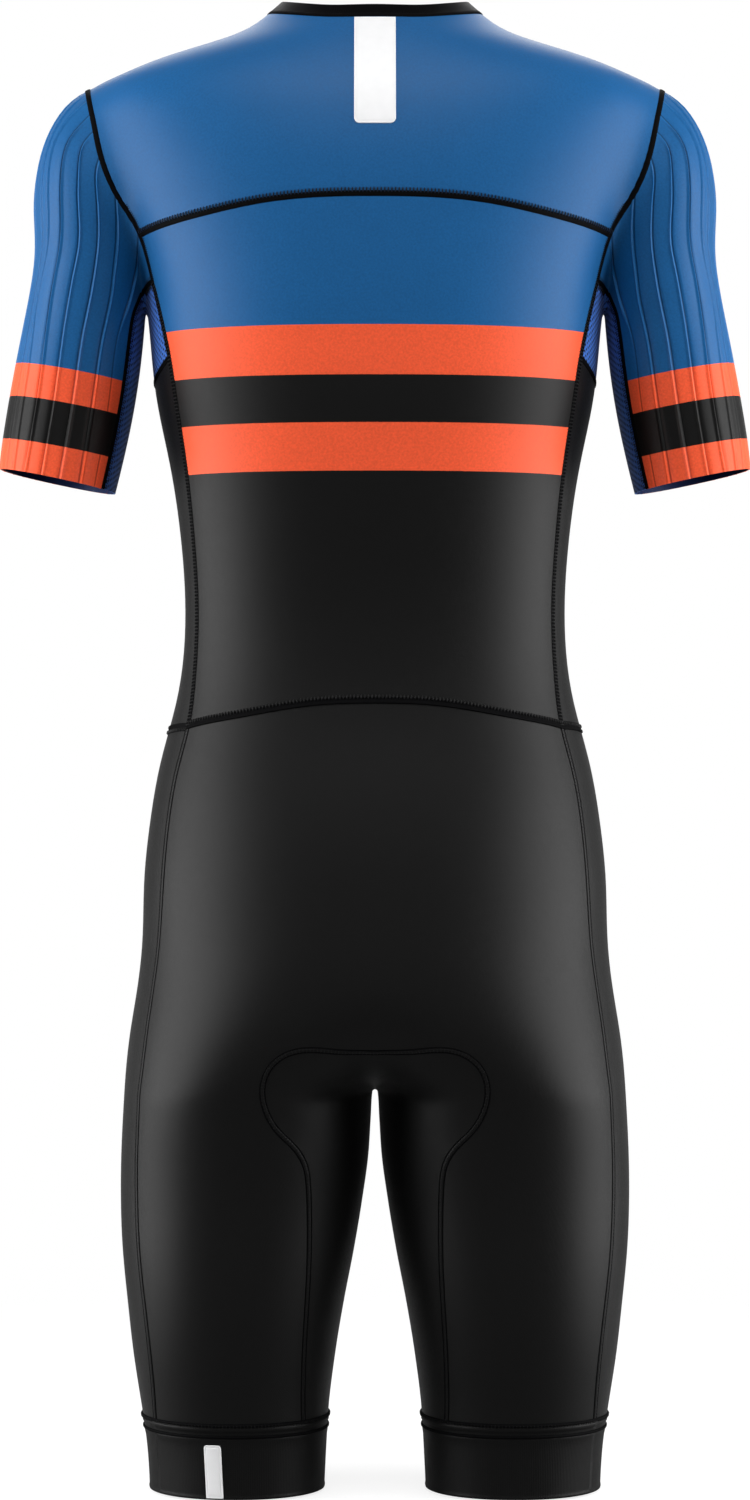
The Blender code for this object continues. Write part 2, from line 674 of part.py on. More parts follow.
def zip_edge():
    """Left edge of the zip's tape, from the neckline to the waist seam."""
    rows = len(ARMHOLE_POINTS) - FRONT_CORNER + UNDERARM_ROWS + SIDE_ROWS
    top = NECK_FRONT_HALF[0]
    bottom = WAIST_FRONT_HALF[-1]
    guess = top + (bottom - top) * np.linspace(0, 1, rows)[:, None]
    guess[:, 1] -= 12 * MM
    line = on_skin(guess)
    line[:, 0] = TAPE_HALF
    line[0], line[-1] = top, bottom
    return line


def build_front_body():
    """Front on either side of the zip."""
    right = joined(ARMHOLE_POINTS[FRONT_CORNER:], FRONT_MESH, FRONT_WAIST)
    top = joined(NECK_FRONT_HALF, YOKE_FRONT_SEAM)
    grid = spread(top, WAIST_FRONT_HALF[::-1], zip_edge(), right)
    add_pair("front_body", *cloth(grid), BLUE)


def underarm_grid():
    """Mesh from the cuff, under the arm and onto the side of the body, across three lines."""
    line = Seam(UNDERARM_LINE)
    middle = joined(line.between(0, ARMPIT, SLEEVE_ROWS), line.between(ARMPIT, -1, UNDERARM_ROWS))
    back = joined(UNDER_BACK[::-1], BACK_MESH)
    front = joined(UNDER_FRONT[::-1], FRONT_MESH)
    grid = saddle(back, middle, front, SIDE_COLUMNS)
    fold = np.linspace(back[SLEEVE_ROWS, 1], front[SLEEVE_ROWS, 1], SIDE_COLUMNS + 1)
    grid[SLEEVE_ROWS, 1:-1] = armpit_fold(fold[1:-1])
    on_sleeve = evened(grid[:SLEEVE_ROWS + 1], SETTLING)
    on_body = evened(grid[SLEEVE_ROWS:], SETTLING)
    return np.concatenate([on_sleeve, on_body[1:]])


UNDERARM_GRID = underarm_grid()


def build_underarm_mesh():
    """Underarm mesh, its cuff end free."""
    add_pair("underarm_mesh", *cloth(UNDERARM_GRID, top=False), MESH_BLUE)


def build_side_panels():
    """Side panels between the side seams, from the mesh to the waist seam."""
    grid = spread(UNDERARM_GRID[-1], WAIST_ACROSS_SIDE, BACK_WAIST, FRONT_WAIST)
    add_pair("side_panel", *cloth(grid), BLACK)


def cuff_point(share):
    """Cuff of the sleeve's main piece, a share of the way from its back seam round to its front seam."""
    start, end = UNDER_BACK[-1], UNDER_FRONT[-1]
    outer_x, outer_z = CUFF_OUTER
    inner_x, inner_z = CUFF_INNER
    centre = (outer_x + inner_x) / 2 * MM
    section = sleeve_section(np.array(outer_z * MM))
    half_x, half_y = (outer_x - inner_x) / 2 * MM, section[2]
    first = math.atan2(start[1] / half_y, (centre - start[0]) / half_x)
    angle = first + (2 * math.pi - 2 * first) * np.linspace(0, 1, 721)
    ring = np.stack([centre - half_x * np.cos(angle), half_y * np.sin(angle), np.zeros_like(angle)], -1)
    length = np.concatenate([[0], np.cumsum(np.linalg.norm(np.diff(ring, axis=0), axis=1))])
    ring = np.stack([np.interp(np.asarray(share) * length[-1], length, ring[:, k]) for k in range(3)], -1)
    ring[:, 2] = outer_z * MM + (ring[:, 0] - outer_x * MM) * (outer_z - inner_z) / (outer_x - inner_x)
    ring = on_skin(ring)
    ring[0], ring[-1] = start, end
    return ring


def build_sleeves():
    """Sleeves, with their lengthwise ribs raised over a plain inside."""
    shares = np.concatenate([[0, RIB_FIRST / 2], RIBS, [1 - RIB_FIRST / 2, 1]])
    flat = spread(ARMHOLE_POINTS, cuff_point(shares), UNDER_BACK, UNDER_FRONT, shares, RIB_SPREAD)
    sides = np.array([-RIB_HALF_WIDTH, 0, RIB_HALF_WIDTH])
    fine = np.concatenate([shares[:2], (RIBS[:, None] + sides).ravel(), shares[-2:]])
    crest = np.isin(fine, RIBS)
    grid = np.array([[np.interp(fine, shares, row[:, axis]) for axis in range(3)] for row in flat])
    grid = grid.transpose(0, 2, 1)
    grid[1:-1, 1:-1] = on_skin(grid[1:-1, 1:-1])
    grid[-1] = cuff_point(fine)
    normals = outward(grid)
    face = seamed(grid, normals, bottom=False)
    raised = normals * RIB_HEIGHT * crest[None, :, None]
    raised[0] = 0
    add_pair("sleeve", face + raised, face - normals * CLOTH, BLUE)


# ---------------------------------------------------------------- shorts


def gusset_line(guides, stops):
    """Line from the left leg band to the centre in three stretches: leg, thigh and seat."""
    seam = Seam(guides)
    counts = (LEG_ROWS, THIGH_ROWS, SEAT_ROWS)
    line = joined(*[seam.between(*ends) for ends in zip(stops[:-1], stops[1:], counts)])
    line[-1, 0] = 0
    return line


GUSSET_BACK_HALF = gusset_line(GUSSET_BACK, GUSSET_BACK_STOPS)
GUSSET_FRONT_HALF = gusset_line(GUSSET_FRONT, GUSSET_FRONT_STOPS)


def leg_band_arc(start, guide, end, count):
    """Stretch of the leg band's top edge between two seams."""
    line = Seam((mm(start), guide, mm(end))).between(0, 2, count)
    line[1:-1, 2] = BAND_TOP_Z
    return line


BAND_BACK_ARC = leg_band_arc(GUSSET_BACK_HALF[0], LEG_BAND_BACK, BACK_LEG[-1], STRIP_ROWS)
BAND_FRONT_ARC = leg_band_arc(GUSSET_FRONT_HALF[0], LEG_BAND_FRONT, FRONT_LEG[-1], STRIP_ROWS)
BAND_SIDE_ARC = leg_band_arc(BACK_LEG[-1], LEG_BAND_SIDE, FRONT_LEG[-1], SIDE_COLUMNS)


def shorts_strip(gusset_half, side_leg, waist_half, band_arc):
    """Grid of a shorts panel: a strip from the gusset seam out to the side seams and the waist."""
    seat_start = LEG_ROWS + THIGH_ROWS
    seat_count = HIP_ROWS + len(waist_half) - 1
    inner_half = joined(gusset_half[:seat_start + 1], refined(gusset_half[seat_start:], seat_count))
    outer_half = joined(side_leg[::-1], waist_half)
    return spread(both_sides(inner_half), both_sides(outer_half), band_arc, band_arc * (-1, 1, 1),
                  sideways=STRIP_SPREAD)


def build_shorts():
    """Back and front of the shorts, each in one piece with both legs."""
    back = shorts_strip(GUSSET_BACK_HALF, BACK_LEG, WAIST_BACK_HALF, BAND_BACK_ARC)
    add_wall("shorts_back", *cloth(back), BLACK)
    front_waist = np.concatenate([WAIST_FRONT_HALF, zip_rows()[0][-1:]])
    front = shorts_strip(GUSSET_FRONT_HALF, FRONT_LEG, front_waist, BAND_FRONT_ARC)
    add_wall("shorts_front", *cloth(front), BLACK)


def build_shorts_sides():
    """Sides of the shorts, from the waist seam to the leg bands."""
    grid = spread(WAIST_ACROSS_SIDE, BAND_SIDE_ARC, BACK_LEG, FRONT_LEG)
    add_pair("shorts_side", *cloth(grid), BLACK)


def inner_leg_grid():
    """Gusset from one leg band over the crotch to the other, across three lines."""
    middle = gusset_line(INNER_LEG_LINE, INNER_LEG_STOPS)
    grid = saddle(both_sides(GUSSET_BACK_HALF), both_sides(middle), both_sides(GUSSET_FRONT_HALF),
                  SIDE_COLUMNS)
    return evened(grid, SETTLING)


INNER_LEG_GRID = inner_leg_grid()


def build_gusset():
    """Seat and inner legs in one piece."""
    add_wall("inner_leg_gusset", *cloth(INNER_LEG_GRID), BLACK)


def build_leg_bands():
    """Gripper bands, with two raised rings at the top and a free hem."""
    ring = np.concatenate([BAND_BACK_ARC[:0:-1], INNER_LEG_GRID[0, :-1], BAND_FRONT_ARC[:-1],
                           BAND_SIDE_ARC[:0:-1]])
    profile = np.array(LEG_BAND_PROFILE) * MM
    grid = np.repeat(ring[None], len(profile), 0)
    grid[1:, :, 2] = BAND_TOP_Z - profile[1:, :1]
    grid[1:] = on_skin(grid[1:])
    grid[-1, :, 2] = HEM_Z
    normals = outward(grid)
    turn = facing(grid, normals)
    grid[0] += stood_back(grid[0], normals[0] * turn, np.full(len(ring), SEAM_GAP / 2))
    outer = grid + normals * profile[:, 1][:, None, None]
    add_pair("leg_band", outer, grid - normals * CLOTH, BLACK, closed=True)


# ---------------------------------------------------------------- neck band, labels


def neck_top():
    """Free edge of the neck band, its width up the skin from the neckline."""
    foot = both_sides(joined(NECK_FRONT_HALF, NECK_BACK_HALF))
    normals = outward(foot)
    along = np.gradient(foot, axis=0)
    up = np.cross(along, normals)
    up /= np.linalg.norm(up, axis=1, keepdims=True)
    up *= np.sign(up[len(up) // 2, 2])
    top = on_skin(foot + up * NECK_BAND_WIDTH)
    top[[0, -1], 0] = foot[[0, -1], 0]
    return foot, top


def build_neck_band():
    """Neck band, from one side of the zip round to the other, standing proud of the yoke."""
    foot, top = neck_top()
    ends = np.linspace(0, 1, 3)[:, None]
    left = top[0] + (foot[0] - top[0]) * ends
    right = top[-1] + (foot[-1] - top[-1]) * ends
    grid = spread(top, foot, left, right)
    add_wall("neck_band", *cloth(grid, BAND_CLOTH, NECK_BAND_LIFT, top=False), BLACK)


def on_back(x, z):
    """Points of the back with a given x and z."""
    x, z = np.broadcast_arrays(x, z)

    def inside(y):
        return skin(np.stack([x, y, z], -1)) < 0

    return np.stack([x, bisected(np.zeros(x.shape), np.full(x.shape, BACK_REACH), inside), z], -1)


def label_grid(centre, size, taper):
    """Rectangle on the back of the suit, its lower corners taken in."""
    width, top, bottom = size
    across = np.linspace(-0.5, 0.5, 5)[None, :] * width
    rows = np.append(np.linspace(top, bottom + taper, 8), bottom)[:, None]
    narrow = np.where(rows == bottom, 1 - 1.2 * taper / width, 1.0)
    return on_back(centre + across * narrow, rows)


def build_labels():
    """White neck label under the neck band, and white tab on the left leg band."""
    for name, centre, size, taper in (("neck_label", 0.0, LABEL, 2.5 * MM),
                                      ("hem_tab", HEM_TAB_X, HEM_TAB, 0.5 * MM)):
        grid = label_grid(centre, size, taper)
        normals = outward(grid)
        inner = grid + normals * LABEL_LIFT
        add_wall(name, inner + normals * LABEL_CLOTH, inner, LABEL_WHITE)


# ---------------------------------------------------------------- zip


def zip_rows():
    """Centre line of the zip from the neck band's free edge to the waist seam, and its normals."""
    edge = zip_edge()
    line = np.concatenate([neck_top()[1][:1], edge])
    line[:, 0] = 0
    line = on_skin(line)
    line[:, 0] = 0
    normals = outward(line)
    normals[:, 0] = 0
    return line, normals / np.linalg.norm(normals, axis=1, keepdims=True)


def build_tape():
    """Tape of the closed zip, between the fronts and the ends of the neck band."""
    edge = np.concatenate([neck_top()[1][:1], zip_edge()])
    centre, _ = zip_rows()
    chain_edge = edge + (centre - edge) * (1 - 3 * MM / TAPE_HALF)
    half = np.stack([edge, chain_edge, centre], 1)
    grid = np.concatenate([half, half[:, -2::-1] * (-1, 1, 1)], 1)
    add_wall("zip_tape", *cloth(grid, TAPE_CLOTH, top=False), BLACK)


def build_chain():
    """Closed chain of the zip, lying on its tape."""
    centre, normals = zip_rows()
    centre = centre.copy()
    span = centre[-1] - centre[-2]
    centre[-1] -= span / np.linalg.norm(span) * 2 * MM
    columns = np.array([-1, -0.6, 0.6, 1]) * CHAIN_HALF
    heights = np.array([0.35, 1, 1, 0.35]) * CHAIN_HEIGHT
    foot = centre[:, None] + columns[None, :, None] * np.array([1.0, 0, 0]) + normals[:, None] * SEAM_GAP
    add_wall("zip_chain", foot + normals[:, None] * heights[None, :, None], foot, BLACK)


def slider_frame():
    """Frame of the slider on the chain's first stretch: X across, Y up the chain, Z outwards."""
    centre, _ = zip_rows()
    upper, lower = centre[1], centre[2]
    up = Vector(upper - lower).normalized()
    across = Vector((1, 0, 0))
    out = across.cross(up)
    place = Vector(upper + (lower - upper) * SLIDER_AT)
    frame = Matrix((across, up, out)).transposed().to_4x4()
    frame.translation = place
    return frame


def box(name, size, centre, collection):
    """Box object of a size about a centre, its scale applied."""
    mesh = bpy.data.meshes.new(name)
    builder = bmesh.new()
    bmesh.ops.create_cube(builder, size=1.0)
    bmesh.ops.scale(builder, vec=size, verts=builder.verts)
    bmesh.ops.translate(builder, vec=centre, verts=builder.verts)
    builder.to_mesh(mesh)
    builder.free()
    item = bpy.data.objects.new(name, mesh)
    bpy.data.collections[collection].objects.link(item)
    return item


def rod(name, radius, length, centre, collection):
    """Cylinder along X about a centre."""
    mesh = bpy.data.meshes.new(name)
    builder = bmesh.new()
    turn = Matrix.Translation(centre) @ Matrix.Rotation(math.pi / 2, 4, "Y")
    bmesh.ops.create_cone(builder, cap_ends=True, segments=16, radius1=radius, radius2=radius, depth=length,
                          matrix=turn)
    builder.to_mesh(mesh)
    builder.free()
    item = bpy.data.objects.new(name, mesh)
    bpy.data.collections[collection].objects.link(item)
    return item


def combine(target, tool, operation):
    """Exact Boolean of a hidden tool on a target that share a frame."""
    tool.hide_render = True
    tool.display_type = "WIRE"
    change = target.modifiers.new(tool.name, "BOOLEAN")
    change.operation = operation
    change.object = tool
    change.solver = "EXACT"


def pivot_height():
    """Height of the pull's axis above the zip's tape."""
    chain_top = SEAM_GAP + CHAIN_HEIGHT
    return chain_top + SEAM_GAP + SLIDER_PLATE + LUG_SIZE[2] / 2


def build_slider():
    """Slider over the chain, with a bored lug for the pull."""
    width, length = SLIDER_SIZE
    foot = SEAM_GAP
    roof = SEAM_GAP + CHAIN_HEIGHT + SEAM_GAP
    top = roof + SLIDER_PLATE
    frame = slider_frame()
    slider = box("zip_slider", (width, length, top - foot), (0, 0, (top + foot) / 2), "triathlon_suit")
    lug_z = top + LUG_SIZE[2] / 2
    lug = box("slider_lug", (*LUG_SIZE[:2], LUG_SIZE[2] + 0.4 * MM), (0, 0, lug_z - 0.2 * MM), "tools")
    channel_half = CHAIN_HALF + SEAM_GAP
    channel = box("slider_channel", (2 * channel_half, length * 1.2, roof), (0, 0, roof / 2), "tools")
    bore = rod("slider_bore", LUG_BORE / 2, LUG_SIZE[0] * 2, (0, 0, pivot_height()), "tools")
    combine(slider, lug, "UNION")
    combine(slider, channel, "DIFFERENCE")
    combine(slider, bore, "DIFFERENCE")
    slider.data.materials.append(principled("zip_slider", METAL, 0.8))
    for item in (slider, lug, channel, bore):
        item.matrix_world = frame


def pull_outline(curve):
    """Outline of the pull with its window, the crossbar's middle at the origin."""
    width, length, bar = PULL_SIZE
    window_width, window_length = PULL_WINDOW
    outline = [(-width / 2, bar / 2), (width / 2, bar / 2)]
    for step in range(9):
        angle = -math.pi * step / 8
        outline.append((width / 2 * math.cos(angle), width / 2 * math.sin(angle) - length + width / 2))
    window = [(-window_width / 2, -bar / 2), (-window_width / 2, -bar / 2 - window_length),
              (window_width / 2, -bar / 2 - window_length), (window_width / 2, -bar / 2)]
    for corners in (outline, window):
        line = curve.splines.new("POLY")
        line.points.add(len(corners) - 1)
        line.points.foreach_set("co", [value for x, y in corners for value in (x, y, 0, 1)])
        line.use_cyclic_u = True


def build_pull():
    """Pull tab, hanging down along the zip from the slider's lug; its origin is on its axis."""
    curve = bpy.data.curves.new("zip_pull", "CURVE")
    curve.dimensions = "2D"
    curve.fill_mode = "BOTH"
    curve.extrude = PULL_SIZE[2] / 2
    pull_outline(curve)
    draft = bpy.data.objects.new("pull_draft", curve)
    bpy.data.collections["tools"].objects.link(draft)
    bpy.context.view_layer.update()
    solid = bpy.data.meshes.new_from_object(draft.evaluated_get(bpy.context.evaluated_depsgraph_get()))
    bpy.data.objects.remove(draft)
    builder = bmesh.new()
    builder.from_mesh(solid)
    bmesh.ops.remove_doubles(builder, verts=builder.verts, dist=0.01 * MM)
    bmesh.ops.recalc_face_normals(builder, faces=builder.faces)
    builder.to_mesh(solid)
    builder.free()
    solid.name = "zip_pull"
    pull = add_part("zip_pull", solid, METAL, 0.8)
    pull.matrix_world = slider_frame() @ Matrix.Translation((0, 0, pivot_height()))


# ---------------------------------------------------------------- the suit


def empty_scene():
    """Remove every object and make the two collections."""
    for item in list(bpy.data.objects):
        bpy.data.objects.remove(item, do_unlink=True)
    for name in ("triathlon_suit", "tools"):
        bpy.context.scene.collection.children.link(bpy.data.collections.new(name))


def main():
    """Build the suit."""
    empty_scene()
    build_yoke()
    build_back_body()
    build_front_body()
    build_side_panels()
    build_underarm_mesh()
    build_sleeves()
    build_shorts()
    build_shorts_sides()
    build_gusset()
    build_leg_bands()
    build_neck_band()
    build_labels()
    build_tape()
    build_chain()
    build_slider()
    build_pull()
    bpy.context.view_layer.update()


main()
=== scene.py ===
"""A short-sleeved triathlon suit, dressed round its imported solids. Metres, +Z up, front -Y, wearer's left +X.

Every cloth panel is a grid of points between its seams, laid on one smooth surface, `skin`, and given the
cloth's thickness inwards. Seams, ribs, bands and labels are profiles carried along that surface.
"""

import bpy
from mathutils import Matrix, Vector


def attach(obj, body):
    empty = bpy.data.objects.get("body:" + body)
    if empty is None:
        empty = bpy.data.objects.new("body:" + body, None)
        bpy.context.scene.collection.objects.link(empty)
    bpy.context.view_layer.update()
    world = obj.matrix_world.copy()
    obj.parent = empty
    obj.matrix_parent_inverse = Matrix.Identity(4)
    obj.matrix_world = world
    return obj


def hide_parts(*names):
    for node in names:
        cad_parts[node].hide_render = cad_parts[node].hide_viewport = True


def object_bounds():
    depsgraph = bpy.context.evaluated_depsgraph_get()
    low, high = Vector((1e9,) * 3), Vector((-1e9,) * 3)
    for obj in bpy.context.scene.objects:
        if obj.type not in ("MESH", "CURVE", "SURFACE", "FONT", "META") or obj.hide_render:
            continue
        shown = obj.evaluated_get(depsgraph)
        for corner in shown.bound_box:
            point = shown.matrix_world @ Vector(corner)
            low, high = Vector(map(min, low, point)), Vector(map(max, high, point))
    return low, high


bl_info = {
    "name": "Triathlon suit",
    "version": (1, 0, 0),
    "blender": (4, 5, 0),
    "location": "3D View > Sidebar > Suit",
    "description": "Cloth, seams, zip and studio for a short-sleeved triathlon suit",
    "category": "Object",
}

import math

import bpy
import numpy as np
from bpy.props import FloatProperty, FloatVectorProperty, PointerProperty
from bpy.types import Operator, Panel, PropertyGroup
from mathutils import Matrix, Vector

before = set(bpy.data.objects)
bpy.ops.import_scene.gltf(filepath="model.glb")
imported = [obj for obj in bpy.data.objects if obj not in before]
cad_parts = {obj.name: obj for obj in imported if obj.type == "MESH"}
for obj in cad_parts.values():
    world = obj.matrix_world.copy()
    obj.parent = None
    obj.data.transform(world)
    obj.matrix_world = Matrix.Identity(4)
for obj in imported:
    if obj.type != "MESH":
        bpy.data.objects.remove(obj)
SOLID_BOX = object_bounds()

MM = 0.001
GARMENT = "garment"
# Factors that mirror points to the wearer's right, and from the back to the front
TO_RIGHT = (-1, 1, 1)
TO_FRONT = (1, -1, 1)
SIDES = (("left", (1, 1, 1)), ("right", TO_RIGHT))

# Lengths of the suit; the ends of the cuff are x and z in mm
BAND_TOP_Z = -968 * MM
HEM_Z = -1019.2 * MM
CUFF_OUTER = (259.4, -315.3)
CUFF_INNER = (180.0, -331.9)
NECK_BAND_WIDTH = 11.0 * MM
SEAM_GAP = 0.3 * MM

# Divisions of the armhole between its corners, the first one's share of the cuff, and the corner of the front yoke
ARMHOLE_COUNT = 15
ARMHOLE_FIRST = 0.06
FRONT_CORNER = 12

# Front zip
TAPE_HALF = 7.0 * MM
SLIDER_TOP_Z = -76 * MM
CHAIN_FOOT_Z = -494 * MM
# How far the front bulges past a straight line from the neckline to the waist
FRONT_BULGE = 12 * MM

# Labels, in mm: node, x of the middle, width, height of the straight end and of the rounded one, corners' radius
LABELS = (
    ("neck_label", 0.0, 28.0, -13.0, -90.8, 4.0),
    ("hem_tab", 108.7, 11.6, -1018.2, -982.0, 2.2),
)
# Sideways lean of a label beside the middle, for each metre of its height
LABEL_LEAN = 0.05
# Heights of the two cords round a leg band, in mm
BAND_CORDS = (-968.4, -976.6)
# A depth that the back never reaches
BACK_REACH = 200 * MM

# Lower edges of the printed bands above the lowest, in mm: on the body, and on the sleeves along the cuff
TORSO_BANDS = (-322.5, -290.5, -258.5, -225.5)
SLEEVE_BANDS = (-342.5, -312.2, -289.0)
CUFF_RISE = 0.186
# Height below which the ribs beside the under-sleeve seams are gone
RIB_ENDS = 235 * MM

# The camera's distance and height, and the height of its view at the suit
CAMERA_AWAY = 3.0
CAMERA_Z = -0.5096
FRAME_HEIGHT = 1.04
# Fine steps in each division of a panel
DETAIL = 4

# Sections of the body and legs, in mm: height, half width, depth behind, depth in front, roundness
BODY = (
    (30, 55.0, 42, 48, 2.2),
    (14, 59.0, 46, 53, 2.2),
    (0, 73.0, 56, 61, 2.2),
    (-9, 84.5, 64, 66, 2.2),
    (-18, 102.5, 72, 71, 2.2),
    (-31, 143.0, 82, 78, 2.25),
    (-45, 177.0, 91, 85, 2.3),
    (-62, 194.0, 100, 92, 2.3),
    (-85, 195.0, 108, 99, 2.3),
    (-115, 188.0, 114, 107, 2.3),
    (-150, 173.0, 116, 112, 2.3),
    (-185, 161.5, 115.5, 115, 2.3),
    (-222, 156.0, 113, 115, 2.3),
    (-265, 151.5, 108.5, 112.5, 2.3),
    (-310, 142.5, 101, 108, 2.3),
    (-365, 134.3, 92, 104, 2.3),
    (-430, 131.7, 86, 102, 2.3),
    (-475, 137.3, 91, 102.5, 2.3),
    (-517, 148.2, 102, 103, 2.3),
    (-560, 155.8, 114, 103, 2.3),
    (-600, 159.8, 122, 102, 2.25),
    (-640, 161.0, 126, 100, 2.2),
    (-675, 164.7, 126, 98, 2.2),
    (-705, 169.5, 122, 97, 2.2),
    (-730, 172.3, 115.5, 97, 2.2),
    (-752, 173.8, 109, 98, 2.2),
    (-787, 175.6, 99, 98.5, 2.15),
    (-822, 176.0, 92, 97, 2.1),
    (-856, 174.6, 87.5, 94, 2.1),
    (-891, 171.2, 82, 89, 2.1),
    (-926, 167.3, 74, 81, 2.1),
    (-967, 161.0, 64, 69, 2.1),
    (-988, 158.1, 61.5, 65, 2.1),
    (-1019.2, 156.0, 61, 63, 2.1),
    (-1040, 155.5, 61, 63, 2.1),
)
# Inner edge of the left leg's section, in mm: height, x. Above the split it runs across to the right side.
SPLIT_TOP_Z = -560 * MM
SPLIT = (
    (-560, -155.8), (-600, -152.0), (-640, -140.0), (-675, -112.0), (-705, -68.0), (-728, -25.0),
    (-739, -5.0), (-746, 1.7), (-765, 2.9), (-787, 4.3), (-822, 9.0), (-856, 14.7), (-891, 21.5),
    (-926, 27.3), (-967, 32.3), (-988, 33.5), (-1019.2, 35.0), (-1040, 35.6),
)
# Sections of the left sleeve, in mm: height, outer x, inner x, depth behind, depth in front
SLEEVE = (
    (-100, 235.0, 156.0, 55, 55),
    (-135, 235.7, 155.5, 55.5, 55.5),
    (-165, 235.0, 156.5, 55, 55),
    (-190, 238.0, 158.0, 54, 54),
    (-218, 243.4, 160.0, 53, 53),
    (-246, 248.9, 162.9, 52.5, 52.5),
    (-281, 255.1, 168.5, 52, 52),
    (-313, 259.4, 175.5, 51, 51),
    (-345, 261.0, 183.5, 50.5, 50.5),
)
SLEEVE_ROUNDNESS = 2.1
SHOULDER_Z = -135 * MM
SHOULDER_RISE = 77 * MM
# Width over which two tubes blend, in mm: height, blend
LEG_BLEND = ((-560, 0), (-620, 6), (-675, 20), (-705, 30), (-726, 24), (-738, 9), (-747, 3), (-1040, 3))
ARM_BLEND = ((-40, 30), (-110, 38), (-150, 30), (-185, 18), (-200, 10), (-209, 4), (-230, 3))

# Guides of the seams on the wearer's left, in mm: x, y, z. Each is drawn smooth and laid on the skin.
SHOULDER_TOP = (199.5, 0, -52)
UNDERARM_BACK = (151.9, 45.6, -189.7)
ARMHOLE_BACK = (
    UNDERARM_BACK, (155.0, 45.8, -176.4), (160.3, 48.7, -158.3), (175.7, 53.9, -131.7),
    (186.5, 53.9, -105.8), (192.6, 44.0, -79.2), (198.0, 17.0, -56.0), SHOULDER_TOP,
)
YOKE_CORNER = 2
SIDE_BACK = (
    UNDERARM_BACK, (146.6, 49.6, -210.9), (140.0, 55.1, -242.1), (132.8, 52.3, -290.0),
    (124.1, 41.5, -368.0), (121.8, 39.0, -410.0), (124.0, 42.7, -466.0), (127.5, 49.1, -493.2),
    (134.9, 52.7, -522.5), (144.3, 60.6, -598.0), (151.5, 60.5, -675.0), (159.5, 65.5, -737.0),
    (162.2, 56.8, -789.0), (161.8, 52.2, -838.0), (153.6, 46.6, -924.0), (151.7, 37.0, -968.0),
)
MESH_CORNER, WAIST_CORNER, HIP_CORNER, THIGH_CORNER, LEG_CORNER = 2, 7, 11, 13, 15
UNDER_SLEEVE_BACK = (
    UNDERARM_BACK, (156.2, 34.0, -191.6), (160.8, 24.0, -197.6), (164.3, 28.2, -206.0), (167.5, 31.3, -219.0),
    (170.3, 31.9, -243.0), (176.6, 31.0, -283.0), (187.0, 30.0, -330.4),
)
YOKE_BACK = (
    (152.9, 60.3, -156.3), (112.8, 94.8, -148.4), (73.5, 109.0, -141.8), (35.3, 114.5, -138.8),
    (0, 115.7, -138.3),
)
NECKLINE_BACK = ((74, 0, 0), (66, 32, -5), (52, 50, -8.5), (30.5, 62.4, -10.6), (0, 65.6, -10.8))
NECKLINE_FRONT = ((0, -94, -75), (26, -90, -66), (48, -76, -45), (65, -48, -18))
YOKE_FRONT = ((110, -62, -38), (150, -66, -55))
WAIST_BACK = ((89.2, 77.0, -485.3), (41.0, 89.0, -477.6), (0, 91.2, -476.0))
WAIST_FRONT = ((89.0, -86, -496.0), (41.0, -99, -498.0), (7.0, -102.8, -498.0))
WAIST_SIDE = (141.5, 0, -496.0)
GUSSET_BACK = (
    (48.8, 44.2, -968.0), (47.6, 58.6, -910.0), (44.3, 75.2, -829.0), (44.8, 81.7, -804.0),
    (46.5, 86.4, -791.0), (53.7, 94.4, -777.0), (65.0, 102.0, -765.0), (73.5, 109.0, -749.0),
    (75.1, 114.0, -735.0), (69.9, 118.0, -721.0), (59.6, 120.0, -712.6), (47.2, 121.0, -709.5),
    (22.7, 117.0, -711.0), (0, 113.0, -711.7),
)
GUSSET_FRONT = (
    (48.8, -48.0, -968.0), (47.0, -66.0, -900.0), (44.5, -84.0, -835.0), (44.5, -89.0, -804.0),
    (46.5, -92.0, -785.0), (53.0, -94.0, -764.0), (56.0, -95.0, -744.0), (51.0, -96.0, -726.0),
    (38.0, -97.0, -713.0), (20.0, -97.0, -708.0), (0, -97.0, -707.0),
)
GUSSET_BACK_STOPS = (0, 3, 7, 13)
GUSSET_FRONT_STOPS = (0, 3, 6, 10)
LEG_BAND_BACK = (95.0, 64.0, -968.0)
LEG_BAND_FRONT = (95.0, -69.0, -968.0)
LEG_BAND_SIDE = (161.0, 0, -968.0)
UNDERARM_LINE = (
    (180.0, 0, -331.9), (174.7, 0, -308.5), (168.5, 0, -281.0), (162.5, 0, -246.0), (159.8, 0, -222.0),
    (158.0, 0, -208.0), (155.8, 0, -224.0), (153.0, 0, -257.0),
)
ARMPIT = 5
# Distances from the middle between which the fold of the armpit lies
ARMPIT_NEAR = 140 * MM
ARMPIT_FAR = 180 * MM
INNER_LEG_LINE = (
    (32.3, 0, -968.0), (27.0, 0, -926.0), (14.7, 0, -856.0), (9.0, 0, -822.0),
    (4.3, 0, -787.0), (2.9, 0, -765.0), (1.8, 0, -751.0), (0, 0, -745.0),
)
INNER_LEG_STOPS = (0, 3, 5, 7)

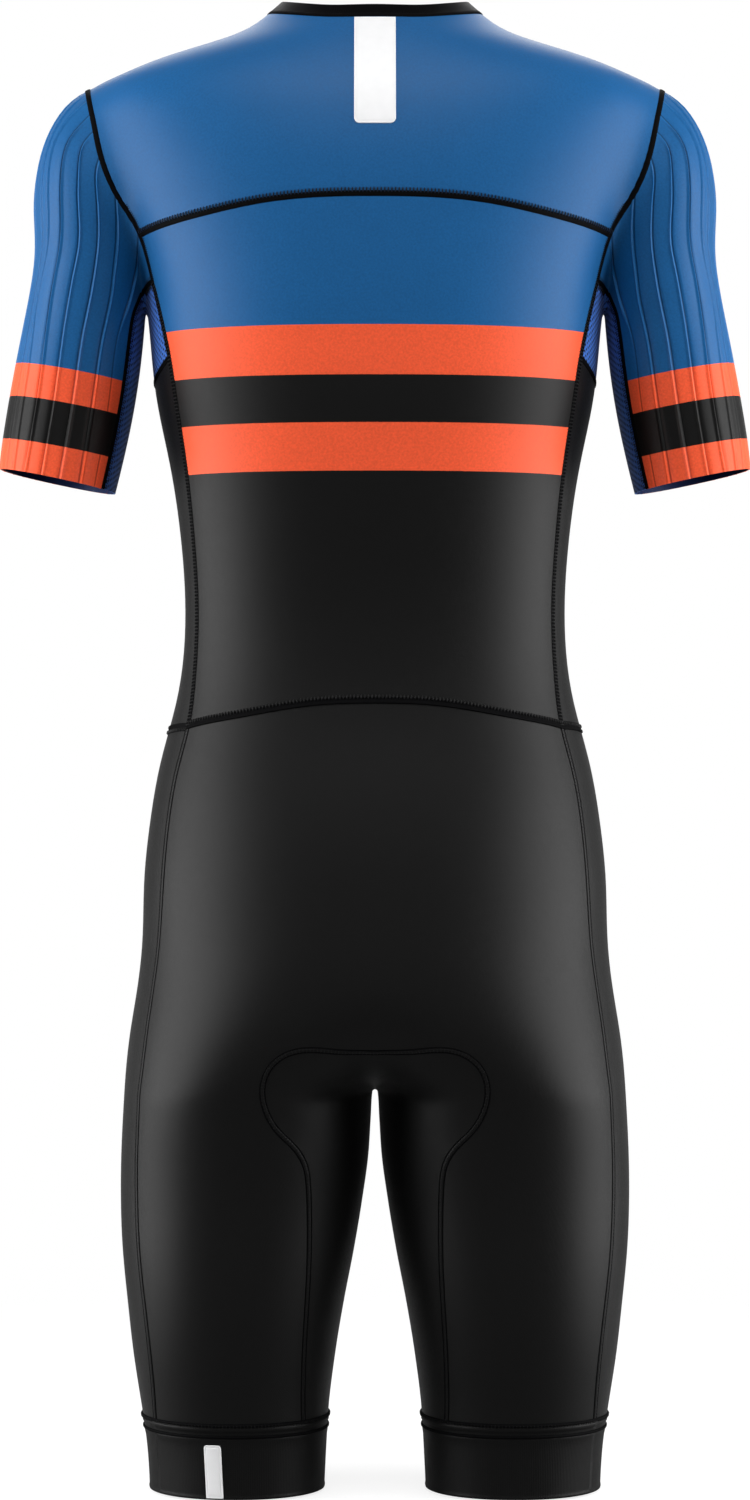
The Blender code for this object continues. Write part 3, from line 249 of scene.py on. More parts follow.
# Ribs of the left sleeve's back, from the outermost in: start on the armhole and end on the cuff, as shares of
# their length, then cosines of the angle in the sleeve's section at each height in mm, the first ones not begun
RIB_HEIGHTS = (-95, -115, -135, -165, -185, -200, -225, -260)
RIB_LINES = (
    (0.5, 0.5, 1.0, 1.0, 1.0, 1.0, 1.0, 1.0, 1.0, 1.0),
    (0.472, 0.43, 0.955, 0.955, 0.955, 0.955, 0.955, 0.955, 0.955, 0.955),
    (0.4435, 0.364, 0.83, 0.83, 0.82, 0.83, 0.85, 0.86, 0.85, 0.84),
    (0.406, 0.32, 0.71, 0.71, 0.69, 0.72, 0.77, 0.785, 0.75, 0.71),
    (0.3602, 0.27, 0.40, 0.455, 0.45, 0.47, 0.515, 0.523, 0.505, 0.465),
    (0.3185, 0.212, 0.05, 0.145, 0.146, 0.13, 0.18, 0.20, 0.21, 0.187),
    (0.2635, 0.156, None, -0.176, -0.177, -0.197, -0.175, -0.155, -0.11, -0.113),
    (0.183, 0.093, None, None, None, -0.52, -0.50, -0.49, -0.43, -0.42),
    (0.0908, 0.036, None, None, None, None, -0.848, -0.79, -0.67, -0.66),
)
# Divisions of the panels
YOKE_HALF = 7
YOKE_ROWS = 6
UNDERARM_ROWS = 3
SIDE_ROWS = 7
SIDE_COLUMNS = 6
SLEEVE_ROWS = 11
FRONT_NECK = 6
LEG_ROWS = 5
THIGH_ROWS = 4
HIP_ROWS = 7
SEAT_ROWS = 7
STRIP_ROWS = 6
# Rounds of evening out a panel's grid and a saddle's, and how much a strip of the shorts is evened sideways
EVENING = 60
SETTLING = 12
STRIP_SPREAD = 0.25
# Level axis that the yoke's cloth is unrolled round: its height and the cloth's distance from it
UNROLL_Z = -130 * MM
UNROLL_RADIUS = 110 * MM


# ---------------------------------------------------------------- curves through tables


def spline(knots, values):
    """Natural cubic spline through rows of values at rising knots."""
    knots = np.asarray(knots, float)
    values = np.asarray(values, float)
    step = np.diff(knots)
    slope = np.diff(values, axis=0) / step[:, None]
    system = np.eye(len(knots))
    target = np.zeros_like(values)
    for i in range(1, len(knots) - 1):
        system[i, i - 1:i + 2] = step[i - 1], 2 * (step[i - 1] + step[i]), step[i]
        target[i] = 6 * (slope[i] - slope[i - 1])
    bend = np.linalg.solve(system, target)

    def read(at):
        at = np.clip(at, knots[0], knots[-1])
        i = np.clip(np.searchsorted(knots, at) - 1, 0, len(step) - 1)
        high = ((at - knots[i]) / step[i])[..., None]
        low = 1 - high
        curved = (low ** 3 - low) * bend[i] + (high ** 3 - high) * bend[i + 1]
        return low * values[i] + high * values[i + 1] + curved * step[i][..., None] ** 2 / 6

    return read


def monotone(knots, values):
    """Cubic through values at rising knots that never overshoots them."""
    knots = np.asarray(knots, float)
    values = np.asarray(values, float)
    step = np.diff(knots)
    slope = np.diff(values) / step
    tangent = np.concatenate([slope[:1], np.zeros(len(slope) - 1), slope[-1:]])
    for i in range(1, len(slope)):
        if slope[i - 1] * slope[i] > 0:
            before = 2 * step[i] + step[i - 1]
            after = step[i] + 2 * step[i - 1]
            tangent[i] = (before + after) / (before / slope[i - 1] + after / slope[i])

    def read(at):
        at = np.clip(at, knots[0], knots[-1])
        i = np.clip(np.searchsorted(knots, at) - 1, 0, len(step) - 1)
        t = (at - knots[i]) / step[i]
        return (values[i] * (1 + 2 * t) * (1 - t) ** 2 + tangent[i] * step[i] * t * (1 - t) ** 2
                + values[i + 1] * t * t * (3 - 2 * t) + tangent[i + 1] * step[i] * t * t * (t - 1))

    return read


def run_along(line):
    """Distance of each of a line's points from its start, along the line."""
    return np.concatenate([[0], np.cumsum(np.linalg.norm(np.diff(line, axis=0), axis=1))])


def read_along(places, knots, values):
    """Values of x, y and z at places, straight between their knots."""
    return np.stack([np.interp(places, knots, values[:, axis]) for axis in range(3)], -1)


def unit(vectors):
    """Vectors of length 1 in the same directions."""
    return vectors / np.linalg.norm(vectors, axis=-1, keepdims=True)


def rising(table):
    """A table's rows from the lowest height up, in metres."""
    return np.array(table, float)[::-1] * MM


BODY_ROWS = rising(BODY)
BODY_ROWS[:, 4] /= MM
body_section = spline(BODY_ROWS[:, 0], BODY_ROWS[:, 1:])
sleeve_section = spline(rising(SLEEVE)[:, 0], rising(SLEEVE)[:, 1:])
split_x = monotone(rising(SPLIT)[:, 0], rising(SPLIT)[:, 1])


def blend_width(table, height):
    """Blend width at a height, straight between the rows of its table."""
    rows = rising(table)
    return np.interp(height, rows[:, 0], rows[:, 1])


# ---------------------------------------------------------------- the skin


def section_edge(dx, dy, half_width, back, front, roundness):
    """Distance of (dx, dy) from a section's centre, and of the section's edge in that direction."""
    reach = np.hypot(dx, dy) + 1e-9
    depth = np.where(dy > 0, back, front)
    edge = ((np.abs(dx) / reach / half_width) ** roundness + (np.abs(dy) / reach / depth) ** roundness)
    return reach, edge ** (-1 / roundness)


def leg_edge(x, y, z):
    """Section of the body seen as its left leg, which widens to the whole body above the split."""
    outer, back, front, roundness = np.moveaxis(body_section(z), -1, 0)
    inner = np.where(z > SPLIT_TOP_Z, -outer, np.maximum(split_x(z), -outer))
    return section_edge(x - (outer + inner) / 2, y, (outer - inner) / 2, back, front, roundness)


def leg_tube(x, y, z):
    """Signed distance to the left leg's tube, corrected for the slope of its side."""
    step = 0.5 * MM
    reach, edge = leg_edge(x, y, z)
    slope = (leg_edge(x, y, z + step)[1] - leg_edge(x, y, z - step)[1]) / (2 * step)
    return (reach - edge) / np.sqrt(1 + slope ** 2)


def sleeve_tube(x, y, z):
    """Signed distance to the left sleeve's tube, closed above by the dome of the shoulder."""
    outer, inner, back, front = np.moveaxis(sleeve_section(np.minimum(z, SHOULDER_Z)), -1, 0)
    centre, half_width = (outer + inner) / 2, (outer - inner) / 2
    reach, edge = section_edge(x - centre, y, half_width, back, front, SLEEVE_ROUNDNESS)
    rise = np.maximum(z - SHOULDER_Z, 0) / SHOULDER_RISE * edge
    return np.hypot(reach, rise) - edge


def blended(first, second, width):
    """Smaller of two distances, rounded where they are closer than width."""
    width = np.maximum(width, 1e-6)
    near = np.maximum(width - np.abs(first - second), 0) / width
    return np.minimum(first, second) - near ** 3 * width / 6


def skin(points):
    """Signed distance to the outer face of the suit, negative inside."""
    x = np.abs(points[..., 0])
    y = points[..., 1]
    z = points[..., 2]
    body = blended(leg_tube(x, y, z), leg_tube(-x, y, z), blend_width(LEG_BLEND, z))
    return blended(body, sleeve_tube(x, y, z), blend_width(ARM_BLEND, z))


def slope_of_skin(points):
    """Gradient of the skin's distance, by central differences."""
    step = 0.2 * MM
    parts = [(skin(points + shift) - skin(points - shift)) / (2 * step) for shift in np.eye(3) * step]
    return np.stack(parts, -1)


def outward(points):
    """Unit normals of the skin."""
    return unit(slope_of_skin(points))


def on_skin(points, rounds=14):
    """Points moved onto the skin along its gradient, at most 10 mm a round."""
    points = np.array(points, float)
    for _ in range(rounds):
        slope = slope_of_skin(points)
        move = slope * (skin(points) / np.maximum((slope ** 2).sum(-1), 0.05))[..., None]
        length = np.linalg.norm(move, axis=-1, keepdims=True)
        points -= move * np.minimum(1, 10 * MM / np.maximum(length, 1e-12))
    return points


def bisected(held, free, test, rounds=40):
    """Values where a test stops holding, between one value where it holds and one where it doesn't."""
    for _ in range(rounds):
        middle = (held + free) / 2
        holds = test(middle)
        held, free = np.where(holds, middle, held), np.where(holds, free, middle)
    return (held + free) / 2


def armpit_fold(y):
    """Points of the fold under the left arm at given y, where the sleeve and the body part."""
    def fold_x(z):
        low, high = np.full_like(y, ARMPIT_NEAR), np.full_like(y, ARMPIT_FAR)
        return bisected(low, high, lambda x: leg_tube(x, y, z) < sleeve_tube(x, y, z))

    def merged(z):
        return skin(np.stack([fold_x(z), y, z], -1)) < 0

    z = bisected(np.full_like(y, SHOULDER_Z), np.full_like(y, CUFF_INNER[1] * MM), merged)
    return np.stack([fold_x(z), y, z], -1)


# ---------------------------------------------------------------- seams


def in_front(guides):
    """Guides mirrored from the back to the front."""
    return [(x, -y, z) for x, y, z in guides]


def both_sides(line):
    """Points from the left to the centre line, carried on to the right."""
    return np.concatenate([line, line[-2::-1] * TO_RIGHT])


def finer(stops):
    """Stops with DETAIL steps between each two."""
    steps = np.arange((len(stops) - 1) * DETAIL + 1) / DETAIL
    return np.interp(steps, np.arange(len(stops)), stops)


class Seam:
    """A smooth line on the skin through guides in mm."""

    def __init__(self, guides):
        guides = np.array(guides, float) * MM
        run = run_along(guides)
        self.knots = run / run[-1]
        self.line = spline(self.knots, guides)

    def at(self, fractions):
        """Points at fractions of the seam's length."""
        return on_skin(self.line(np.asarray(fractions, float)))

    def between(self, first, last, count):
        """Evenly spaced points from one guide to another, DETAIL of them for each of count divisions."""
        return self.at(np.linspace(self.knots[first], self.knots[last], count * DETAIL + 1))


def joined(*lines):
    """Lines that meet end to end, as one line."""
    return np.concatenate([lines[0]] + [line[1:] for line in lines[1:]])


def mm(point):
    """A point in mm, to start or end a seam's guides."""
    return tuple(np.asarray(point) / MM)


def recut(line, count):
    """The same line cut into count divisions, as evenly as its own divisions allow."""
    own = (len(line) - 1) // DETAIL
    corners = np.arange(own + 1) * count // own
    steps = np.interp(np.arange(count * DETAIL + 1) / DETAIL, corners, np.arange(own + 1)) * DETAIL
    return read_along(steps, np.arange(len(line)), line)


# ---------------------------------------------------------------- panels as grids of points


def evened(grid, rounds, sideways=0.5):
    """The grid, its inner points brought towards the middle of their neighbours on the skin."""
    grid = grid.copy()
    for _ in range(rounds):
        beside = (grid[1:-1, :-2] + grid[1:-1, 2:]) / 2
        above = (grid[:-2, 1:-1] + grid[2:, 1:-1]) / 2
        grid[1:-1, 1:-1] = on_skin(sideways * beside + (1 - sideways) * above, 2)
    return grid


def upsampled(grid, down, across):
    """Splines through the grid's rows and columns, read at places given in rows and in columns."""
    rows, columns = grid.shape[:2]
    grid = spline(np.arange(rows), grid.reshape(rows, -1))(down).reshape(len(down), columns, 3)
    grid = grid.transpose(1, 0, 2).reshape(columns, -1)
    return spline(np.arange(columns), grid)(across).reshape(len(across), len(down), 3).transpose(1, 0, 2)


def fitted(coarse, top, bottom, left, right, across=None):
    """Fine grid on the skin: splines through a coarse grid, bent to meet four fine edges.

    The grid is spline(v, u) + (1-v)(top gap) + v(bottom gap) + (1-u)(left gap) + u(right gap).
    """
    down = np.linspace(0, len(coarse) - 1, len(left))
    if across is None:
        across = np.linspace(0, coarse.shape[1] - 1, len(top))
    grid = upsampled(coarse, down, across)
    v = (down / down[-1])[:, None, None]
    u = (across / across[-1])[None, :, None]
    grid = (grid + (1 - v) * (top - grid[0]) + v * (bottom - grid[-1])
            + (1 - u) * (left - grid[:, 0])[:, None] + u * (right - grid[:, -1])[:, None])
    grid[0], grid[-1], grid[:, 0], grid[:, -1] = top, bottom, left, right
    grid[1:-1, 1:-1] = on_skin(grid[1:-1, 1:-1], 4)
    return grid


def between_edges(top, bottom, left, right, across=None, sideways=0.5):
    """Coarse grid between four lines: their Coons patch moved onto the skin and evened out."""
    down = np.linspace(0, 1, len(left))[:, None, None]
    if across is None:
        across = np.linspace(0, 1, len(top))
    across = np.asarray(across)[None, :, None]
    corners = ((1 - down) * ((1 - across) * top[0] + across * top[-1])
               + down * ((1 - across) * bottom[0] + across * bottom[-1]))
    lengthwise = (1 - down) * top + down * bottom
    crosswise = (1 - across) * left[:, None] + across * right[:, None]
    grid = lengthwise + crosswise - corners
    grid[1:-1, 1:-1] = on_skin(grid[1:-1, 1:-1])
    return evened(grid, EVENING, sideways)


def spread(top, bottom, left, right, sideways=0.5):
    """Fine grid of a panel between four fine lines."""
    coarse = between_edges(*(line[::DETAIL] for line in (top, bottom, left, right)), sideways=sideways)
    return fitted(coarse, top, bottom, left, right)


def saddle(back, middle, front, columns):
    """Grid across three lines: the parabola through their points, its inner points moved onto the skin."""
    u = np.linspace(0, 1, columns + 1)[None, :, None]
    grid = ((1 - u) * (1 - 2 * u) * back[:, None] + 4 * u * (1 - u) * middle[:, None]
            + u * (2 * u - 1) * front[:, None])
    grid[:, 1:-1] = on_skin(grid[:, 1:-1])
    return grid


def edge_loop(rows, columns):
    """Indices round the edge of a grid: top, right, bottom and left."""
    index = np.arange(rows * columns).reshape(rows, columns)
    return np.concatenate([index[0, :-1], index[:-1, -1], index[-1, :0:-1], index[:0:-1, 0]])


def facing(grid, normals):
    """1 where the grid's columns turn to its rows anticlockwise seen from outside, otherwise -1."""
    across = grid[:-1, 1:] - grid[:-1, :-1]
    down = grid[1:, :-1] - grid[:-1, :-1]
    return 1 if (np.cross(across, down) * normals[:-1, :-1]).sum() > 0 else -1


def stood_back(loop, normals, gaps):
    """Moves that bring each corner of a closed loop inwards by its edges' gaps; gap i follows corner i."""
    along = np.roll(loop, -1, 0) - loop
    after = unit(np.cross(normals, along))
    before = unit(np.cross(normals, np.roll(along, 1, 0)))
    gap_after = np.asarray(gaps, float)
    gap_before = np.roll(gap_after, 1)
    turn = np.clip((before * after).sum(1), -0.95, 1)
    straight = turn > 0.9999
    rest = np.where(straight, 1, 1 - turn ** 2)
    weight_before = np.where(straight, gap_before / 2, (gap_before - gap_after * turn) / rest)
    weight_after = np.where(straight, gap_after / 2, (gap_after - gap_before * turn) / rest)
    return before * weight_before[:, None] + after * weight_after[:, None]


def seamed(grid, normals, top=True, right=True, bottom=True, left=True):
    """The grid, its sewn edges moved back from the seam by half the seam gap."""
    rows, columns = grid.shape[:2]
    loop = edge_loop(rows, columns)
    half = SEAM_GAP / 2
    gaps = np.concatenate([
        np.full(columns - 1, half * top), np.full(rows - 1, half * right),
        np.full(columns - 1, half * bottom), np.full(rows - 1, half * left),
    ])
    points = grid.reshape(-1, 3).copy()
    face = normals.reshape(-1, 3)[loop] * facing(grid, normals)
    points[loop] += stood_back(points[loop], face, gaps)
    return points.reshape(grid.shape)


def flat_round(grid):
    """Flat coordinates in metres: the way round the upright axis, and the height, so the grain runs down."""
    away = grid[..., :2]
    middle = unit(away.reshape(-1, 2).mean(0))
    turn = np.arctan2(away @ (-middle[1], middle[0]), away @ middle)
    return np.stack([turn * np.linalg.norm(away, axis=-1).mean(), grid[..., 2]], -1)


def flat_over(grid):
    """Flat coordinates in metres over the shoulders: across, and round a level axis between them."""
    turn = np.arctan2(grid[..., 1], grid[..., 2] - UNROLL_Z)
    return np.stack([grid[..., 0], turn * UNROLL_RADIUS], -1)


def flat_along(grid):
    """Flat coordinates in metres along the grid's own rows and columns."""
    def run(steps):
        return np.concatenate([[0], np.cumsum(np.linalg.norm(steps, axis=-1).mean(1))])

    across = run(np.diff(grid, axis=1).transpose(1, 0, 2))
    down = run(np.diff(grid, axis=0))
    return np.stack(np.broadcast_arrays(across[None], -down[:, None]), -1)


# ---------------------------------------------------------------- meshes


def put(name, points, faces, flat, materials, which=None):
    """Object of four-cornered faces, with a flat coordinate at each point and a material for each face.

    Its faces are turned so that its volume, the sum of a . (b x c) over its triangles, is positive.
    """
    a, b, c, d = (points[faces[:, k]] for k in range(4))
    if (a * (np.cross(b, c) + np.cross(c, d))).sum() < 0:
        faces = faces[:, ::-1]
    mesh = bpy.data.meshes.new(name)
    mesh.vertices.add(len(points))
    mesh.vertices.foreach_set("co", np.ascontiguousarray(points, np.float32).ravel())
    mesh.loops.add(faces.size)
    mesh.loops.foreach_set("vertex_index", np.ascontiguousarray(faces, np.int32).ravel())
    mesh.polygons.add(len(faces))
    mesh.polygons.foreach_set("loop_start", np.arange(0, faces.size, 4, dtype=np.int32))
    layer = mesh.uv_layers.new(name="flat")
    layer.uv.foreach_set("vector", np.ascontiguousarray(flat[faces.ravel()], np.float32).ravel())
    for material in materials:
        mesh.materials.append(material)
    if which is not None:
        mesh.polygons.foreach_set("material_index", np.ascontiguousarray(which, np.int32))
    mesh.update(calc_edges=True)
    mesh.shade_smooth()
    mesh.set_sharp_from_angle(angle=math.radians(50))
    piece = bpy.data.objects.new(name, mesh)
    bpy.context.scene.collection.objects.link(piece)
    return piece


def sheet_faces(rows, columns, closed=False):
    """Four-cornered faces of a grid; a closed one joins its last column to its first."""
    index = np.arange(rows * columns).reshape(rows, columns)
    if closed:
        index = np.concatenate([index, index[:, :1]], 1)
    return np.stack([index[:-1, :-1], index[:-1, 1:], index[1:, 1:], index[1:, :-1]], -1).reshape(-1, 4)


def wall(name, outer, inner, flat, materials, closed=False):
    """Closed cloth wall between an outer and an inner grid, the inner one in the second material."""
    rows, columns = outer.shape[:2]
    count = rows * columns
    sheet = sheet_faces(rows, columns, closed)
    index = np.arange(count).reshape(rows, columns)
    edges = [index[0], index[-1, ::-1]] if closed else [edge_loop(rows, columns)]
    rims = [np.stack([np.roll(edge, -1), edge, edge + count, np.roll(edge, -1) + count], 1) for edge in edges]
    faces = np.concatenate([sheet, sheet[:, ::-1] + count] + rims)
    which = np.zeros(len(faces), int)
    which[len(sheet):2 * len(sheet)] = len(materials) - 1
    points = np.concatenate([outer.reshape(-1, 3), inner.reshape(-1, 3)])
    flat = np.concatenate([flat.reshape(-1, 2)] * 2)
    return put(name, points, faces, flat, materials, which)


def lines_frame(line, looped=False):
    """Normal and sideways vectors along a line on the skin."""
    if looped:
        along = np.roll(line, -1, 0) - np.roll(line, 1, 0)
    else:
        along = np.gradient(line, axis=0)
    normals = outward(line)
    return normals, unit(np.cross(along, normals))


def carried(line, ring, looped=False):
    """Points, faces and flat coordinates of a ring of (sideways, height) points carried along a line.

    Each point is line(s) + sideways * side(s) + height * normal(s). Open ends are closed by strips.
    """
    ring = np.asarray(ring, float)
    normals, side = lines_frame(line, looped)
    points = line[:, None] + side[:, None] * ring[None, :, :1] + normals[:, None] * ring[None, :, 1:]
    count, size = points.shape[:2]
    if looped:
        index = np.arange(count * size).reshape(count, size)
        index = np.concatenate([index, index[:1]])
        index = np.concatenate([index, index[:, :1]], 1)
        faces = np.stack([index[:-1, :-1], index[1:, :-1], index[1:, 1:], index[:-1, 1:]], -1).reshape(-1, 4)
    else:
        faces = sheet_faces(count, size, closed=True)[:, ::-1]
        half = np.arange(size // 2 - 1)
        cap = np.stack([half, half + 1, size - 2 - half, size - 1 - half], 1)
        faces = np.concatenate([faces, cap, cap[:, ::-1] + (count - 1) * size])
    flat = np.stack(np.broadcast_arrays(ring[None, :, 0], run_along(line)[:, None]), -1)
    return points.reshape(-1, 3), faces, flat.reshape(-1, 2)


def together(parts):
    """Several (points, faces, flat) as one."""
    starts = np.cumsum([0] + [len(points) for points, _, _ in parts[:-1]])
    return (np.concatenate([points for points, _, _ in parts]),
            np.concatenate([faces + start for (_, faces, _), start in zip(parts, starts)]),
            np.concatenate([flat for _, _, flat in parts]))


def mirrored(part):
    """The same (points, faces, flat) on the wearer's right, its faces turned to stay outwards."""
    points, faces, flat = part
    return points * TO_RIGHT, faces[:, ::-1], flat


def both(parts):
    """Parts of the left side, each followed by its mirror image."""
    return [one for part in parts for one in (part, mirrored(part))]


def stepped(line, step=1.6 * MM):
    """The line cut again into even steps of about a given length."""
    run = run_along(line)
    places = np.linspace(0, run[-1], max(2, round(run[-1] / step)) + 1)
    return read_along(places, run, line)


# Four sections of a thread: their share of its length, of its lift and of its radius; each has six corners
THREAD_SHARE = np.array([0, 0.3, 0.7, 1.0])
THREAD_LIFT = np.array([0.0, 1.0, 1.0, 0.0])
THREAD_SIZE = np.array([0.45, 1, 1, 0.45])
THREAD_CAPS = np.array([[0, 1, 2, 3], [0, 3, 4, 5], [21, 20, 19, 18], [23, 22, 21, 18]])


def threads(line, pitch, ends, lift, radius, lean=0.2 * MM):
    """Short threads across a line, one each pitch: six-sided, thinner at both ends, arched over the cloth.

    Thread i runs from line(s_i) + ends[0] * side to line(s_i + lean) + ends[1] * side, with its middle raised.
    """
    normals, side = lines_frame(line)
    run = run_along(line)
    starts = np.arange(pitch / 2, run[-1] - lean, pitch)
    places = starts[:, None] + lean * THREAD_SHARE
    base, out, beside = (read_along(places, run, values) for values in (line, normals, side))
    middle = (base + beside * (ends[0] + (ends[1] - ends[0]) * THREAD_SHARE)[None, :, None]
              + out * (lift * THREAD_LIFT)[None, :, None])
    cross = unit(np.cross(out, middle[:, -1:] - middle[:, :1]))
    turn = np.arange(6) * math.pi / 3
    size = (radius * THREAD_SIZE)[None, :, None, None]
    points = middle[:, :, None] + size * (np.cos(turn)[None, None, :, None] * cross[:, :, None]
                                          + np.sin(turn)[None, None, :, None] * out[:, :, None])
    faces = np.concatenate([sheet_faces(4, 6, closed=True)[:, ::-1], THREAD_CAPS])
    faces = faces[None] + 24 * np.arange(len(starts))[:, None, None]
    flat = np.zeros((len(starts) * 24, 2))
    flat[:, 0] = np.tile(np.repeat(THREAD_SHARE, 6), len(starts)) * 2 * MM
    return points.reshape(-1, 3), faces.reshape(-1, 4), flat


# ---------------------------------------------------------------- seam lines that panels share


def armhole_fraction(share):
    """Place on the armhole of a sleeve line that is a share of the way round the cuff."""
    t = 1 - 2 * np.asarray(share, float)
    return 0.5 - 0.5 * t * (0.56 + 0.44 * np.abs(t) ** 3)


armhole = Seam(ARMHOLE_BACK + tuple(in_front(ARMHOLE_BACK))[-2::-1])
yoke_corner = armhole.knots[YOKE_CORNER]
between_corners = armhole_fraction(np.linspace(ARMHOLE_FIRST, 1 - ARMHOLE_FIRST, ARMHOLE_COUNT))
ARMHOLE_STOPS = np.concatenate([[0, yoke_corner], between_corners, [1 - yoke_corner, 1]])
ARMHOLE_LINE = armhole.at(finer(ARMHOLE_STOPS))

side_back = Seam(SIDE_BACK)
side_front = Seam(in_front(SIDE_BACK))


def side_lines(seam):
    """Side seam in its three stretches: beside the mesh, to the waist, and down the leg."""
    beside_mesh = seam.between(0, MESH_CORNER, UNDERARM_ROWS)
    to_waist = seam.between(MESH_CORNER, WAIST_CORNER, SIDE_ROWS)
    to_hip = seam.between(WAIST_CORNER, HIP_CORNER, HIP_ROWS)
    down_thigh = seam.between(HIP_CORNER, THIGH_CORNER, THIGH_ROWS)
    to_band = seam.between(THIGH_CORNER, LEG_CORNER, LEG_ROWS)
    return beside_mesh, to_waist, joined(to_hip, down_thigh, to_band)


BACK_MESH, BACK_WAIST, BACK_LEG = side_lines(side_back)
FRONT_MESH, FRONT_WAIST, FRONT_LEG = side_lines(side_front)
UNDER_BACK = Seam(UNDER_SLEEVE_BACK).between(0, -1, SLEEVE_ROWS)
UNDER_FRONT = Seam(in_front(UNDER_SLEEVE_BACK)).between(0, -1, SLEEVE_ROWS)


def half_seam(start, guides, count):
    """Seam from a given point through guides to its end."""
    return Seam((mm(start),) + tuple(guides)).between(0, -1, count)


YOKE_SEAM = half_seam(ARMHOLE_LINE[DETAIL], YOKE_BACK, YOKE_HALF)
YOKE_SEAM[-1, 0] = 0
WAIST_BACK_HALF = half_seam(BACK_WAIST[-1], WAIST_BACK, YOKE_HALF)
WAIST_BACK_HALF[-1, 0] = 0
WAIST_FRONT_HALF = half_seam(FRONT_WAIST[-1], WAIST_FRONT, FRONT_NECK + YOKE_ROWS)
WAIST_ACROSS_SIDE = Seam((mm(BACK_WAIST[-1]), WAIST_SIDE, mm(FRONT_WAIST[-1]))).between(0, 2, SIDE_COLUMNS)

neckline = Seam(NECKLINE_FRONT + NECKLINE_BACK)
NECK_CORNER = len(NECKLINE_FRONT) - 1
TAPE_SHARE = TAPE_HALF / (NECKLINE_FRONT[1][0] * MM)
NECK_FRONT_HALF = neckline.at(np.linspace(neckline.knots[1] * TAPE_SHARE, neckline.knots[NECK_CORNER],
                                          FRONT_NECK * DETAIL + 1))
NECK_FRONT_HALF[0, 0] = TAPE_HALF
NECK_BACK_HALF = neckline.between(NECK_CORNER, -1, FRONT_CORNER - 1 + YOKE_HALF)
NECK_BACK_HALF[-1, 0] = 0
YOKE_FRONT_SEAM = Seam((mm(NECK_BACK_HALF[0]),) + YOKE_FRONT
                       + (mm(ARMHOLE_LINE[FRONT_CORNER * DETAIL]),)).between(0, -1, YOKE_ROWS)


def gusset_line(guides, stops):
    """Line from the left leg band to the centre in three stretches: leg, thigh and seat."""
    seam = Seam(guides)
    counts = (LEG_ROWS, THIGH_ROWS, SEAT_ROWS)
    line = joined(*[seam.between(*ends) for ends in zip(stops[:-1], stops[1:], counts)])
    line[-1, 0] = 0
    return line


GUSSET_BACK_HALF = gusset_line(GUSSET_BACK, GUSSET_BACK_STOPS)
GUSSET_FRONT_HALF = gusset_line(GUSSET_FRONT, GUSSET_FRONT_STOPS)


def leg_band_arc(start, guide, end, count):
    """Stretch of the leg band's top edge between two seams."""
    line = Seam((mm(start), guide, mm(end))).between(0, 2, count)
    line[1:-1, 2] = BAND_TOP_Z
    return line


BAND_BACK_ARC = leg_band_arc(GUSSET_BACK_HALF[0], LEG_BAND_BACK, BACK_LEG[-1], STRIP_ROWS)
BAND_FRONT_ARC = leg_band_arc(GUSSET_FRONT_HALF[0], LEG_BAND_FRONT, FRONT_LEG[-1], STRIP_ROWS)
BAND_SIDE_ARC = leg_band_arc(BACK_LEG[-1], LEG_BAND_SIDE, FRONT_LEG[-1], SIDE_COLUMNS)


def zip_edge():
    """Left edge of the zip's tape, from the neckline to the waist seam."""
    rows = (len(ARMHOLE_STOPS) - 1 - FRONT_CORNER + UNDERARM_ROWS + SIDE_ROWS) * DETAIL + 1
    top, bottom = NECK_FRONT_HALF[0], WAIST_FRONT_HALF[-1]
    guess = top + (bottom - top) * np.linspace(0, 1, rows)[:, None]
    guess[:, 1] -= FRONT_BULGE
    line = on_skin(guess)
    line[:, 0] = TAPE_HALF
    line[0], line[-1] = top, bottom
    return line


def neck_top():
    """Neckline, and the free edge of the neck band, its width up the skin from it."""
    foot = both_sides(joined(NECK_FRONT_HALF, NECK_BACK_HALF))
    up = unit(np.cross(np.gradient(foot, axis=0), outward(foot)))
    up *= np.sign(up[len(up) // 2, 2])
    top = on_skin(foot + up * NECK_BAND_WIDTH)
    top[[0, -1], 0] = foot[[0, -1], 0]
    return foot, top


def end_arcs(back, middle, front):
    """The first and the last row of the fine grid across three lines."""
    return [saddle(back[row], middle[row], front[row], SIDE_COLUMNS * DETAIL)[0]
            for row in (slice(0, 1), slice(-1, None))]


def underarm_grid():
    """Mesh from the cuff, under the arm and onto the side of the body, creased along the armpit's fold."""
    line = Seam(UNDERARM_LINE)
    middle = joined(line.between(0, ARMPIT, SLEEVE_ROWS), line.between(ARMPIT, -1, UNDERARM_ROWS))
    back = joined(UNDER_BACK[::-1], BACK_MESH)
    front = joined(UNDER_FRONT[::-1], FRONT_MESH)
    coarse = saddle(back[::DETAIL], middle[::DETAIL], front[::DETAIL], SIDE_COLUMNS)
    crease = SLEEVE_ROWS * DETAIL
    across = np.linspace(back[crease, 1], front[crease, 1], SIDE_COLUMNS + 1)
    fold = np.concatenate([back[crease:crease + 1], armpit_fold(across[1:-1]), front[crease:crease + 1]])
    fold[[1, -2]] = on_skin((fold[[0, -1]] + fold[[2, -3]]) / 2)
    coarse[SLEEVE_ROWS] = fold
    fold = on_skin(spline(np.arange(len(fold)), fold)(np.arange(SIDE_COLUMNS * DETAIL + 1) / DETAIL))
    fold[0], fold[-1] = back[crease], front[crease]
    cuff, foot = end_arcs(back, middle, front)
    on_sleeve = fitted(evened(coarse[:SLEEVE_ROWS + 1], SETTLING), cuff, fold,
                       back[:crease + 1], front[:crease + 1])
    on_body = fitted(evened(coarse[SLEEVE_ROWS:], SETTLING), fold, foot, back[crease:], front[crease:])
    return joined(on_sleeve, on_body)


